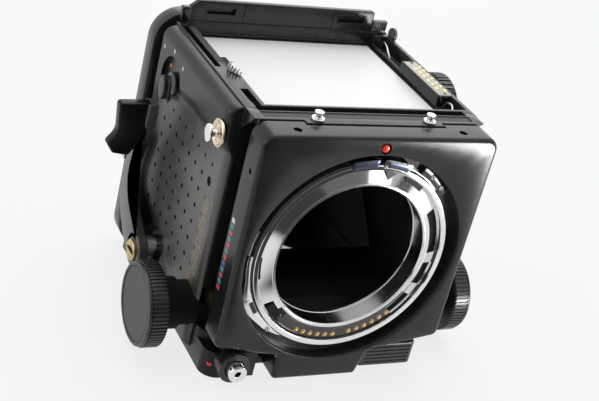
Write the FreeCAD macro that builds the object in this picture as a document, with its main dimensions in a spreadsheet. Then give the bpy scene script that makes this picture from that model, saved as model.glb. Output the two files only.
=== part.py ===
import FreeCAD
import Part
import math
import os
import re
import Sketcher
from FreeCAD import Placement, Rotation, Vector

# A medium format reflex camera body with a bellows-focused lens panel, in millimetres.
# X points to the right as one faces the lens mount, Y runs from the lens to the film and Z is up.
# The origin is the mouth of the tripod socket, in the plane that the camera stands on.
# Setbacks are measured along Y from the front face of the lens panel when it is racked in.

SIZES = {
    "front_y": (-50.0, "front face of the lens panel, from the axis of the tripod socket"),
    "axis_z": (56.2, "height of the lens axis"),
    "core_half": (49.4, "half width of the die-cast body"),
    "body_half": (52.0, "half width over the side covers"),
    "body_depth": (77.5, "die-cast body from its front face to its back"),
    "base_top": (15.5, "top of the base casting"),
    "seat_z": (102.5, "seat of the focusing screen, top of the mirror box"),
    "top_z": (110.0, "top of the body"),
    "slide_gap": (0.3, "clearance beside a piece that slides"),
    "turn_gap": (0.05, "radial clearance of a shaft or pin in its bearing"),

    "panel_half": (50.0, "half width of the lens panel"),
    "panel_thick": (12.0, "thickness of the lens panel"),
    "panel_top": (109.7, "top of the lens panel"),
    "panel_side_foot": (18.0, "bottom of the panel at its sides"),
    "panel_round": (5.5, "round at the panel's top corners"),
    "foot_round": (3.0, "round at the panel's lower corners"),
    "face_round": (1.8, "round along the edge of the panel's face"),
    "chin_top": (12.3, "height where the chin starts below the panel"),
    "chin_left": (22.0, "chin, to the left of the lens axis"),
    "chin_right": (19.0, "chin, to the right of the lens axis"),
    "chin_slant": (3.5, "how far the chin's right side leans in"),
    "chin_foot": (0.8, "bottom of the chin"),
    "notch_half": (30.0, "half width of the notch under the finder shelf"),
    "notch_depth": (3.2, "depth of the notch from the panel's back"),
    "notch_foot": (105.8, "bottom of the notch"),
    "bellows_gap": (9.5, "space behind the panel when it is racked in"),
    "focus_travel": (46.0, "travel of the lens panel"),

    "recess_radius": (45.9, "recess round the lens mount"),
    "recess_depth": (6.0, "depth of that recess"),
    "throat_radius": (31.3, "clear bore of the lens mount"),
    "throat_wall": (1.5, "wall of the throat tube"),
    "throat_setback": (2.5, "front edge of the throat tube"),
    "throat_length": (9.5, "length of the throat tube"),
    "flange_setback": (4.4, "front of the mount's floor"),
    "flange_radius": (41.6, "outer radius of the mount's floor"),
    "lug_radius": (45.2, "outer radius of the mount's screw lugs"),
    "rim_setback": (1.8, "front face that the lens seats on"),
    "rim_inner": (38.6, "inner radius of the seat ring"),
    "slot_inner": (34.6, "inner radius of the drive slots"),
    "slot_outer": (37.6, "outer radius of the drive slots"),
    "dog_sweep": (7.0, "angle that a drive dog takes up"),
    "dog_slack": (1.0, "angle between a resting dog and the end of its slot"),
    "dog_proud": (1.2, "how far the dogs stand ahead of the mount's floor"),
    "drive_thick": (1.8, "thickness of the drive ring"),
    "pin_count": (13.0, "places in the row of lens contacts"),
    "pin_circle": (36.6, "radius on which the lens contacts stand"),
    "pin_radius": (0.75, "radius of a lens contact"),
    "pin_pitch": (5.475, "angle between lens contacts"),
    "pin_start": (245.7, "angle of the first lens contact"),
    "contact_floor": (1.0, "thickness of the contact carrier"),
    "catch_high": (0.7, "how far the lens catch stands ahead of the seat"),
    "plate_high": (0.2, "how far the catch plate stands ahead of the seat"),
    "screw_circle": (43.6, "radius on which the mount screws stand"),
    "index_z": (105.0, "height of the lens index dot"),
    "index_radius": (1.7, "radius of the index dot"),
    "index_seat": (2.3, "radius of the hole that the index dot stands in"),
    "index_depth": (1.5, "depth of that hole"),
    "index_proud": (0.4, "how far the index dot stands out"),
    "panel_screw_x": (35.3, "panel screws, from the lens axis"),
    "panel_screw_setback": (5.0, "panel screws, from the front"),
    "small_screw": (1.3, "radius of the small screw heads"),
    "panel_hole": (1.7, "radius of the holes that the panel screws are sunk in"),
    "panel_hole_depth": (2.0, "depth of those holes"),
    "panel_screw_high": (1.2, "height of the panel screws' heads"),
    "mount_screw_high": (0.5, "height of the mount screws' heads"),
    "pin_high": (0.8, "height of a lens contact"),

    "cavity_half": (37.0, "half width of the mirror chamber"),
    "front_wall": (5.0, "front wall of the mirror box"),
    "rear_wall": (4.0, "rear wall of the mirror box"),
    "chamber_floor": (20.0, "floor of the mirror chamber"),
    "tunnel_top": (24.6, "floor over the focusing shaft"),
    "tunnel_depth": (15.5, "depth of the block that holds the focusing shaft"),
    "lip_z": (98.0, "underside of the front lip below the screen"),
    "window_half": (36.0, "half width of the front window"),
    "window_top": (91.2, "top of the front window"),
    "gate_half": (36.0, "half width of the square film window"),

    "shaft_setback": (29.7, "focusing shaft, from the front"),
    "shaft_z": (19.65, "height of the focusing shaft"),
    "shaft_radius": (3.0, "radius of the focusing shaft"),
    "knob_radius": (17.2, "radius of a focusing knob"),
    "knob_outer": (72.85, "outer face of a focusing knob"),
    "knob_length": (8.35, "length of a focusing knob"),
    "rim_radius": (16.7, "radius of the knob's smooth rim"),
    "rim_length": (1.3, "length of that rim"),
    "knob_cap_radius": (15.0, "radius of the disc let into the knob"),
    "knob_cap_depth": (0.8, "depth of that disc's seat"),
    "knob_cap_sunk": (0.2, "disc, below the knob's outer face"),
    "knob_web": (1.0, "knob left between the shaft's end and the disc"),
    "bush_radius": (9.0, "radius of the shaft's side bushes"),
    "rib_count": (66.0, "ribs round a focusing knob"),
    "rib_depth": (0.5, "depth of the ribs"),
    "gear_module": (0.6, "module of the racks and pinions"),
    "gear_teeth": (16.0, "teeth of a pinion"),
    "gear_slack": (0.12, "slack on each flank of the gear teeth"),
    "rail_inner": (42.8, "inner side of a rack rail"),
    "rail_width": (4.6, "width of a rack rail"),
    "rail_height": (6.2, "height of a rack rail above its teeth"),
    "rail_length": (76.0, "length of a rack rail"),

    "bellows_half": (42.0, "half width of the bellows"),
    "bellows_foot": (18.5, "bottom of the bellows"),
    "bellows_top": (104.0, "top of the bellows"),
    "bellows_wall": (3.0, "wall of the folded bellows"),
    "pleat_depth": (3.0, "depth of a pleat"),
    "pleat_count": (6.0, "pleats of the bellows"),

    "mirror_setback": (58.7, "where the mirror crosses the lens axis"),
    "mirror_half": (32.5, "half width of the mirror"),
    "mirror_low": (27.0, "mirror below the lens axis, along its slope"),
    "mirror_high": (34.0, "mirror above the lens axis, along its slope"),
    "mirror_thick": (2.0, "thickness of the mirror"),
    "holder_thick": (2.0, "thickness of the mirror's tray"),
    "hinge_setback": (86.0, "mirror hinge, from the front"),
    "hinge_z": (88.0, "height of the mirror hinge"),
    "hinge_pin": (1.5, "radius of the mirror's hinge pin"),
    "hinge_lug": (4.0, "width of a hinge lug of the mirror's tray"),

    "base_front": (12.5, "front of the base casting behind the chin"),
    "base_short": (1.0, "how far the base stops short of the body's back"),
    "corner_round": (7.0, "round at the base's front corners"),
    "release_x": (-40.0, "axis of the release button"),
    "release_z": (8.6, "height of the release button"),
    "release_front": (5.0, "front face of the block that holds the release"),
    "release_block_right": (-28.0, "right side of that block"),
    "block_top": (11.4, "top of the two blocks under the lens panel"),
    "button_radius": (3.7, "radius of the release button"),
    "button_hole": (1.2, "radius of the cable release hole"),
    "button_proud": (5.0, "how far the button stands ahead of the panel"),
    "button_length": (14.0, "length of the release button"),
    "button_travel": (2.5, "travel of the release button"),
    "dot_x": (-47.2, "red dot beside the release collar"),
    "dot_z": (6.0, "height of the red dot"),
    "dot_radius": (0.8, "radius of the red dot"),
    "dot_setback": (6.1, "front of the red dot"),
    "dot_end": (9.0, "back of the red dot"),
    "collar_radius": (6.4, "radius of the release collar"),
    "collar_gap": (0.4, "clearance of the release collar round the button"),
    "collar_thick": (6.0, "length of the release collar"),
    "tab_half": (1.2, "half width of the collar's tab"),
    "tab_high": (0.4, "how far the tab stands out from the collar"),
    "tab_long": (2.5, "length of the tab along the collar"),
    "battery_left": (20.0, "left side of the battery cover"),
    "battery_right": (45.0, "right side of the battery cover"),
    "battery_foot": (0.8, "bottom of the battery cover"),
    "battery_front": (5.0, "front face of the battery cover"),
    "battery_cover_thick": (3.0, "thickness of the battery cover"),
    "battery_groove": (0.5, "depth of the battery cover's grooves"),
    "battery_groove_half": (0.4, "half width of those grooves"),
    "battery_edge_left": (1.5, "from the cover's left side to the grooves"),
    "battery_edge_right": (3.5, "from the cover's right side to the grooves"),
    "battery_round": (2.4, "round at the cover's right side"),
    "cell_radius": (6.5, "radius of the battery"),
    "cell_length": (25.0, "length of the battery"),
    "cell_x": (34.0, "axis of the battery"),
    "cell_z": (8.2, "height of the battery's axis"),
    "cell_setback": (12.8, "front end of the battery"),

    "socket_radius": (2.55, "wall radius of the tripod thread"),
    "socket_depth": (8.0, "depth of the tripod thread"),
    "bush_outer": (7.5, "radius of the tripod bush"),
    "bush_end": (1.5, "metal above the end of the thread"),
    "base_screw_x": (40.0, "base screws, from the lens axis"),
    "base_screw_front": (28.5, "front pair of base screws"),
    "base_screw_back": (87.5, "rear pair of base screws"),
    "base_screw_radius": (2.2, "radius of a base screw's head"),
    "base_screw_depth": (1.6, "depth of a base screw's head"),

    "cover_inset": (1.0, "side covers, behind the body's front face"),
    "cover_short": (2.5, "side covers, short of the body's back"),
    "cover_foot": (3.0, "bottom of the side covers"),
    "cover_top": (109.3, "top of the side covers"),
    "cover_proud": (3.0, "how far the border of the dish stands out"),
    "shoulder_round": (4.5, "round along the top edge of the side covers"),
    "dish_slope": (3.5, "half width of the slope between the dish and its border"),
    "border_edge": (0.8, "least flat of the border beside the cover's back"),
    "dimple_pitch_y": (7.55, "dimples of the side covers, from front to back"),
    "dimple_pitch_z": (7.35, "dimples of the side covers, upward"),
    "dimple_setback": (32.4, "first column of dimples"),
    "dimple_foot": (28.7, "lowest row of dimples"),
    "dimple_columns": (9.0, "columns of dimples"),
    "dimple_rows": (8.0, "rows of dimples"),
    "dimple_radius": (1.0, "radius of a dimple"),
    "dimple_depth": (0.6, "depth of a dimple"),
    "dimple_margin": (2.3, "least distance from a dimple to an edge"),
    "lug_setback": (26.0, "strap lugs, from the front"),
    "lug_z": (97.0, "height of the strap lugs"),
    "lug_washer": (5.5, "radius of the washer under a strap lug"),
    "lug_washer_thick": (1.2, "thickness of that washer"),
    "lug_neck": (1.7, "radius of a strap lug's neck"),
    "lug_head": (3.6, "radius of a strap lug's head"),
    "lug_reach": (5.0, "how far a strap lug stands out"),
    "lug_head_thick": (1.3, "thickness of a strap lug's head"),

    "lever_setback": (68.0, "pivot of the cocking lever"),
    "lever_z": (20.0, "height of that pivot"),
    "lever_gap": (2.5, "from the right cover's border to the cocking lever's arm"),
    "lever_thick": (4.5, "thickness of that arm"),
    "lever_hub": (7.6, "radius of the lever's hub"),
    "lever_boss": (6.2, "radius of the boss that the hub turns on"),
    "lever_screw_radius": (4.6, "radius of the lever's screw"),
    "lever_screw_thick": (1.2, "thickness of the lever's screw"),
    "lever_recess": (10.5, "radius of the recess round the hub"),
    "grip_thick": (5.0, "thickness of the grip"),
    "multi_ahead": (16.5, "pivot of the multiple exposure lever, ahead of the cover's back"),
    "multi_z": (90.5, "height of that pivot"),
    "multi_recess": (10.2, "radius of the recess round it"),
    "multi_depth": (2.0, "depth of that recess"),
    "multi_hub": (5.0, "radius of its hub"),
    "multi_arm": (8.4, "from its pivot to its grip"),
    "multi_grip": (3.6, "radius of its grip"),
    "multi_grip_high": (3.0, "how far its grip stands out"),
    "multi_grip_back": (5.2, "its grip, behind its pivot"),
    "multi_grip_drop": (3.5, "its grip, below its pivot"),
    "multi_thick": (1.6, "thickness of its hub and arm"),

    "well_left": (40.5, "screen well, to the left"),
    "well_right": (42.0, "screen well, to the right"),
    "well_setback": (29.8, "front of the screen's seat"),
    "well_rear_wall": (0.5, "rear wall of the screen well"),
    "mouth_setback": (24.4, "front of the wider mouth of the well"),
    "mouth_foot": (105.2, "floor of the mouth ahead of the screen"),
    "frame_width": (1.2, "width of the screen's frame"),
    "frame_high": (2.0, "height of the screen's frame"),
    "screen_thick": (1.8, "thickness of the focusing screen"),
    "screen_fit": (0.2, "gap round the screen's frame"),
    "ledge_foot": (106.2, "height of the ledges beside the well"),
    "ledge_width": (2.4, "width of the ledge on the well's left side"),
    "ledge_start": (65.0, "front end of that ledge"),
    "pocket_right": (48.0, "outer side of the pockets before and behind the contacts"),
    "pocket_end": (95.0, "back end of the rear pocket"),
    "pocket_foot": (104.2, "bottom of the trough in the rear pocket"),
    "pocket_wall": (0.8, "wall between that trough and the well"),
    "left_trough_outer": (48.2, "outer side of the left rear trough"),
    "left_trough_inner": (45.8, "inner side of the left rear trough"),
    "left_trough_start": (56.0, "front end of the left rear trough"),
    "left_trough_end": (95.0, "back end of the left rear trough"),
    "front_trough_outer": (45.5, "outer side of the left front trough"),
    "front_trough_inner": (42.3, "inner side of the left front trough"),
    "front_trough_end": (37.0, "back end of the left front trough"),
    "trough_foot": (105.0, "bottom of the left troughs"),
    "shelf_half": (29.5, "half width of the finder shelf's tongue"),
    "shelf_setback": (9.9, "front edge of the tongue"),
    "shelf_foot": (106.4, "underside of the finder shelf"),
    "shelf_start": (12.4, "front edge of the shelf beside the tongue"),
    "gusset_foot": (101.3, "bottom of the gussets under the shelf's ends"),
    "gusset_thick": (2.0, "thickness of those gussets"),
    "groove_half": (45.0, "half length of the two grooves across the shelf"),
    "groove_back": (23.0, "back of the deep groove"),
    "groove_front": (19.3, "front of the deep groove"),
    "groove_foot": (107.4, "bottom of the deep groove"),
    "seal_back": (18.5, "back of the shallow groove"),
    "seal_front": (14.1, "front of the shallow groove"),
    "seal_depth": (0.8, "depth of the shallow groove"),
    "stud_x": (24.0, "finder studs, from the lens axis"),
    "stud_setback": (12.6, "finder studs, from the front"),
    "stud_neck": (1.2, "radius of a finder stud"),
    "stud_disc": (2.6, "radius of a finder stud's foot"),
    "stud_head": (1.9, "radius of a finder stud's head"),
    "stud_high": (3.6, "height of a finder stud"),
    "stud_flange": (1.2, "thickness of its foot and of its head"),
    "finder_contact_start": (37.2, "front of the finder's contact block"),
    "finder_contact_end": (69.6, "back of the finder's contact block"),
    "finder_contact_left": (42.5, "left side of that block"),
    "finder_contact_right": (48.9, "right side of that block"),
    "finder_contact_foot": (104.0, "bottom of that block"),
    "finder_pin": (0.8, "radius of a finder contact"),
    "finder_pin_high": (0.3, "how far the finder contacts stand out"),
    "finder_pin_outer": (48.0, "outer column of finder contacts"),
    "finder_pin_inner": (45.1, "inner column, which has one contact less"),
    "finder_pin_first": (42.0, "first contact of the outer column"),
    "finder_pin_pitch": (3.72, "pitch of the finder contacts in a column"),
    "finder_pin_rows": (7.0, "contacts in the outer column"),
    "finder_hole": (0.7, "radius of the two holes in the contact block"),
    "finder_hole_deep": (1.5, "depth of those holes"),
    "finder_hole_x": (46.1, "those holes, from the lens axis"),
    "finder_hole_inset": (1.6, "those holes, from the ends of the block"),
    "clip_inset": (1.2, "distance from a spring wire to the end of its trough"),
    "clip_low": (1.2, "top of a spring wire, below the top of the body"),
    "clip_wire": (0.45, "radius of the spring wire"),

    "bar_thick": (3.0, "thickness of the rear bar"),
    "bar_left": (44.8, "rear bar, to the left"),
    "bar_right": (41.5, "rear bar, to the right"),
    "bar_foot": (105.7, "bottom of the rear bar"),
    "bar_top": (119.5, "top of the rear bar"),
    "bar_step_z": (110.4, "step across the rear bar"),
    "bar_step": (0.5, "depth of that step"),
    "catch_slot_z": (114.0, "bottom of the finder's catch slots"),
    "catch_slot_high": (2.8, "height of those slots"),
    "catch_slot_deep": (2.1, "depth of those slots"),
    "catch_slot_left": (24.2, "near end of the catch slots"),
    "catch_slot_right": (36.8, "far end of the catch slots"),
    "bar_groove_left": (25.9, "near end of the groove under the right slot"),
    "bar_groove_right": (38.6, "far end of that groove"),
    "bar_groove_foot": (111.0, "bottom of that groove"),
    "bar_groove_high": (1.1, "height of that groove"),
    "bar_groove_deep": (0.6, "depth of that groove"),
    "catch_knob_length": (7.1, "length of the finder release knob"),
    "catch_stop": (0.5, "space between the rear bar and the knob at rest"),
    "catch_ribs": (6.0, "ribs across the knob"),
    "catch_rib_high": (0.5, "height of those ribs"),
    "catch_foot": (111.0, "underside of the finder release knob"),
    "catch_top": (115.3, "top of the finder release knob"),

    "ring_inner": (46.6, "inner radius of the revolving ring"),
    "ring_outer": (49.2, "outer radius of the revolving ring"),
    "ring_length": (5.2, "length of the revolving ring"),
    "adapter_gap": (3.3, "revolving adapter, behind the body"),
    "adapter_half": (56.0, "half width of the revolving adapter"),
    "adapter_thick": (7.7, "thickness of the revolving adapter"),
    "adapter_round": (13.0, "round at its corners"),
    "film_half_wide": (36.0, "half width of the film opening"),
    "film_half_high": (29.0, "half height of the film opening"),
    "track_depth": (2.3, "depth of the track in the adapter"),
    "lock_length": (20.0, "length of a back lock"),
    "lock_high": (2.6, "how far a back lock stands out"),
    "lock_wide": (4.0, "width of a back lock"),
    "lock_travel": (6.0, "travel of a back lock"),
    "lock_ribs": (8.0, "ribs along a back lock"),
    "lock_rib_high": (0.3, "height of those ribs"),

    "dial_setback": (61.0, "axis of the speed dial"),
    "dial_z": (92.5, "height of the speed dial's axis"),
    "dial_radius": (15.5, "radius of the speed dial"),
    "dial_inner": (54.3, "inner face of the speed dial"),
    "dial_outer": (61.5, "outer face of the speed dial"),
    "dial_ribs": (60.0, "ribs round the speed dial"),
    "dial_cap": (9.5, "radius of the disc let into the dial"),
    "dial_cap_depth": (0.8, "depth of that disc's seat"),
    "dial_cap_thick": (0.6, "thickness of that disc"),
    "tab_radius": (2.9, "radius of the ribbed tab on the left cover"),
    "tab_thick": (1.4, "thickness of that tab"),
    "tab_x": (49.8, "inner face of that tab"),
    "tab_setback": (95.0, "middle of that tab, from the front"),
    "tab_z": (111.2, "height of that tab's middle"),
    "dial_step": (2.0, "how far the upper left cover stands out"),
    "dial_step_foot": (74.0, "bottom of that upper part"),
    "shoe_setback": (66.0, "front edge of the accessory shoe"),
    "shoe_foot": (42.0, "bottom of the accessory shoe"),
    "shoe_wide": (23.0, "outer width of the accessory shoe"),
    "shoe_long": (20.0, "length of the accessory shoe"),
    "shoe_slot": (18.7, "width of the shoe's slot"),
    "shoe_mouth": (12.6, "width between the shoe's lips"),
    "shoe_floor": (1.2, "thickness of the shoe's floor"),
    "shoe_gap": (2.1, "height under the shoe's lips"),
    "shoe_lip": (1.4, "thickness of the shoe's lips"),
    "shoe_stop": (1.2, "height of the stop at the shoe's foot"),
    "remote_setback": (40.0, "remote socket, from the front"),
    "remote_z": (62.0, "height of the remote socket"),
    "remote_radius": (5.2, "radius of the remote socket"),
    "remote_bore": (2.4, "bore of the remote socket"),
    "remote_high": (1.8, "how far the remote socket stands out"),
    "remote_sunk": (1.5, "depth of its bore below the cover's face"),
    "lock_lever_setback": (60.0, "pivot of the focus lock"),
    "lock_lever_z": (16.0, "height of that pivot"),
    "lock_lever_hub": (5.0, "radius of its hub"),
    "lock_lever_arm": (15.0, "length of its arm"),
    "lock_lever_thick": (3.0, "thickness of the focus lock"),
}

# Places worked out from those sizes, as the sheet's own formulas
PANEL_BACK = "(front_y + panel_thick)"
BODY_FRONT = "(front_y + panel_thick + bellows_gap)"
BODY_BACK = "(front_y + panel_thick + bellows_gap + body_depth)"
COVER_FRONT = f"({BODY_FRONT} + cover_inset)"
COVER_BACK = f"({BODY_BACK} - cover_short)"
THROAT_OUTER = "(throat_radius + throat_wall)"
FLANGE_BACK = "(front_y + recess_depth)"
PINION_TIP = "(gear_module * (gear_teeth / 2 + 0.8))"
RACK_TIP = "(shaft_z + gear_module * (gear_teeth / 2 - 0.8))"
RAIL_FOOT = "(shaft_z + gear_module * (gear_teeth / 2 + 1.15))"
DISH_FACE = "(body_half + cover_proud)"
LEVER_INNER = f"({DISH_FACE} + lever_gap)"
LEVER_OUTER = f"({LEVER_INNER} + lever_thick)"
KNOB_INNER = "(knob_outer - knob_length)"
MULTI_Y = f"({COVER_BACK} - multi_ahead)"
BAR_FRONT = f"({BODY_BACK} - well_rear_wall)"
ADAPTER_FRONT = f"({BODY_BACK} + adapter_gap)"
FRAME_TOP = "(seat_z + frame_high)"

doc = FreeCAD.newDocument("camera_body")
sheet = doc.addObject("Spreadsheet::Sheet", "Sizes")
for row, (alias, (value, note)) in enumerate(SIZES.items(), start=1):
    sheet.set(f"A{row}", note)
    sheet.set(f"B{row}", str(value))
    sheet.setAlias(f"B{row}", alias)
doc.recompute()

WORD = re.compile(r"[a-z][a-z_]+")
PIECES = {}


def size(alias):
    """A size as the sheet gives it."""
    return float(getattr(sheet, alias))


def in_sheet(formula):
    """Formula with each alias written the way an expression names the sheet's cell."""
    return WORD.sub(lambda word: f"Sizes.{word[0]}" if word[0] in SIZES else word[0], str(formula))


def bind(thing, **formulas):
    for name, formula in formulas.items():
        thing.setExpression(name, in_sheet(formula))


def put(thing, place):
    """Bind where a thing stands to three formulas."""
    for letter, formula in zip("xyz", place):
        thing.setExpression(f"Placement.Base.{letter}", in_sheet(formula))


def piece(make):
    """Keep the maker of a sub-part under the name of its node."""
    PIECES[make.__name__] = make
    return make


def behind(setback):
    return f"(front_y + {setback})"


def sided(side, near, far):
    """Low and high X of a stretch on one side of the lens axis."""
    if side > 0:
        return f"({near})", f"({far})"
    return f"-({far})", f"-({near})"


def box(name, low, high):
    """Box between two corners, each given as three formulas."""
    made = doc.addObject("Part::Box", name)
    bind(made, **{prop: f"({far}) - ({near})"
                  for prop, near, far in zip(("Length", "Width", "Height"), low, high)})
    put(made, low)
    return made


TURNS = {"X": Rotation(Vector(0, 1, 0), 90), "Y": Rotation(Vector(1, 0, 0), -90), "Z": Rotation()}


def rod(name, start, along, radius, length):
    """Cylinder that leaves its start along one of the axes."""
    made = doc.addObject("Part::Cylinder", name)
    made.Placement = Placement(Vector(), TURNS[along])
    bind(made, Radius=radius, Height=length)
    put(made, start)
    return made


def fuse(name, *shapes):
    made = doc.addObject("Part::MultiFuse", name)
    made.Shapes = list(shapes)
    return made


def group(name, *shapes):
    """Separate solids that share one node."""
    made = doc.addObject("Part::Compound", name)
    made.Links = list(shapes)
    return made


def cut(name, base, *tools):
    made = doc.addObject("Part::Cut", name)
    made.Base = base
    made.Tool = tools[0] if len(tools) == 1 else fuse(f"{name}_tools", *tools)
    return made


def tube(name, start, along, outer, inner, length):
    return cut(name, rod(f"{name}_outer", start, along, outer, length),
               rod(f"{name}_bore", start, along, inner, length))


def edges_along(shape, direction, wanted=lambda point: True):
    """Numbers of the straight edges that run along a direction and pass a test."""
    found = []
    for number, edge in enumerate(shape.Edges, start=1):
        if edge.Curve.TypeId != "Part::GeomLine":
            continue
        if edge.tangentAt(edge.FirstParameter).cross(direction).Length < 1e-6:
            if wanted(edge.CenterOfMass):
                found.append(number)
    return found


def rounded(name, base, radius, direction, wanted=lambda point: True):
    """Round the edges of a piece that run along a direction."""
    doc.recompute()
    made = doc.addObject("Part::Fillet", name)
    made.Base = base
    made.Edges = [(number, size(radius), size(radius))
                  for number in edges_along(base.Shape, direction, wanted)]
    return made


def sector(name, front, back, outer, inner, start, sweep):
    """Part of a ring about the lens axis; angles run from +X towards +Z."""
    turn = Rotation(Vector(1, 0, 0), 90) * Rotation(Vector(0, 0, 1), float(start))
    parts = []
    for part, radius, angle in (("outer", outer, sweep), ("inner", inner, "360")):
        made = doc.addObject("Part::Cylinder", f"{name}_{part}")
        made.Placement = Placement(Vector(), turn)
        bind(made, Radius=radius, Height=f"({back}) - ({front})", Angle=angle)
        put(made, ("0", back, "axis_z"))
        parts.append(made)
    return cut(name, *parts)


def shaped(name, shape):
    """A piece whose form is worked out here from the sheet's sizes."""
    made = doc.addObject("Part::Feature", name)
    made.Shape = shape
    return made


def prism(points, direction):
    """Straight prism on a closed outline of points."""
    return Part.Face(Part.makePolygon(points + points[:1])).extrude(direction)


# Sketched pieces
def new_body(name):
    return doc.addObject("PartDesign::Body", f"{name}_body")


def plane_of(body, role):
    return next(item for item in body.Origin.OriginFeatures if item.Role == role)


def sketch_on(body, role, offset):
    """Sketch on one of the body's own planes, moved along that plane's normal."""
    made = body.newObject("Sketcher::SketchObject", f"{body.Name}_sketch")
    made.AttachmentSupport = [(plane_of(body, role), "")]
    made.MapMode = "FlatFace"
    made.setExpression("AttachmentOffset.Base.z", in_sheet(offset))
    return made


def outline(sketch, corners):
    """Closed run of straight lines through corners that are given as formulas."""
    count = len(corners)
    first = sketch.GeometryCount
    turns = [2 * math.pi * number / count for number in range(count)]
    points = [Vector(10 * math.cos(turn), 10 * math.sin(turn), 0) for turn in turns]
    for number in range(count):
        sketch.addGeometry(Part.LineSegment(points[number], points[(number + 1) % count]), False)
    for number in range(count):
        line = first + number
        following = first + (number + 1) % count
        sketch.addConstraint(Sketcher.Constraint("Coincident", line, 2, following, 1))
    for number, corner in enumerate(corners):
        for kind, formula, start in zip(("DistanceX", "DistanceY"), corner, points[number]):
            index = sketch.addConstraint(Sketcher.Constraint(kind, -1, 1, first + number, 1, start))
            sketch.setExpression(f"Constraints[{index}]", in_sheet(formula))


def rectangle(sketch, low, high):
    outline(sketch, [low, (high[0], low[1]), high, (low[0], high[1])])


def circle(sketch, centre, radius):
    place = Vector(1, 1, 0)
    number = sketch.addGeometry(Part.Circle(place, Vector(0, 0, 1), 1.0), False)
    index = sketch.addConstraint(Sketcher.Constraint("Radius", number, 1.0))
    sketch.setExpression(f"Constraints[{index}]", in_sheet(radius))
    for kind, formula in zip(("DistanceX", "DistanceY"), centre):
        index = sketch.addConstraint(Sketcher.Constraint(kind, -1, 1, number, 3, 1.0))
        sketch.setExpression(f"Constraints[{index}]", in_sheet(formula))


def feature(body, kind, sketch, length, backwards=False):
    """Pad or pocket of a sketch."""
    made = body.newObject(f"PartDesign::{kind}", f"{body.Name}_{kind.lower()}")
    made.Profile = sketch
    made.setExpression("Length", in_sheet(length))
    made.Reversed = backwards
    return made


def fillet_of(body, base, radius, numbers):
    """Round the body's edges with these numbers."""
    made = body.newObject("PartDesign::Fillet", f"{body.Name}_fillet")
    made.Base = (base, [f"Edge{number}" for number in numbers])
    made.setExpression("Radius", in_sheet(radius))
    doc.recompute()
    return made


def round_off(body, base, radius, direction, wanted=lambda point: True):
    """Round the body's edges that run along a direction."""
    doc.recompute()
    return fillet_of(body, base, radius, edges_along(base.Shape, direction, wanted))


# The die-cast body and what is fixed to it
@piece
def mirror_box():
    """Box behind the bellows, open at the front, at the film window and under the screen."""
    block = box("mirror_box_block", ("-core_half", BODY_FRONT, "base_top"),
                ("core_half", BODY_BACK, "seat_z"))
    rear = f"({BODY_BACK} - rear_wall)"
    chamber = box("mirror_box_chamber", ("-cavity_half", f"{BODY_FRONT} + tunnel_depth", "chamber_floor"),
                  ("cavity_half", rear, "seat_z"))
    throat = box("mirror_box_throat", ("-cavity_half", f"{BODY_FRONT} + front_wall", "tunnel_top"),
                 ("cavity_half", f"{BODY_FRONT} + tunnel_depth", "lip_z"))
    window = box("mirror_box_window", ("-window_half", BODY_FRONT, "tunnel_top"),
                 ("window_half", f"{BODY_FRONT} + front_wall", "window_top"))
    gate = box("mirror_box_gate", ("-gate_half", rear, "axis_z - gate_half"),
               ("gate_half", BODY_BACK, "axis_z + gate_half"))
    shaft_bore = rod("mirror_box_shaft_bore", ("-core_half", behind("shaft_setback"), "shaft_z"), "X",
                     "shaft_radius + turn_gap", "2 * core_half")
    hinge_bore = rod("mirror_box_hinge_bore", ("-core_half", behind("hinge_setback"), "hinge_z"), "X",
                     "hinge_pin", "2 * core_half")
    hollows = [chamber, throat, window, gate, shaft_bore, hinge_bore]
    for side in (-1, 1):
        near, far = sided(side, "rail_inner - slide_gap", "core_half")
        track_end = f"{PANEL_BACK} + rail_length + slide_gap"
        hollows.append(box("mirror_box_track", (near, BODY_FRONT, f"{RACK_TIP} - slide_gap"),
                           (far, track_end, f"{RAIL_FOOT} + rail_height + slide_gap")))
        hollows.append(rod("mirror_box_pocket", (near, behind("shaft_setback"), "shaft_z"), "X",
                           f"{PINION_TIP} + slide_gap", f"({far}) - ({near})"))
    return cut("mirror_box", block, *hollows)


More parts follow.
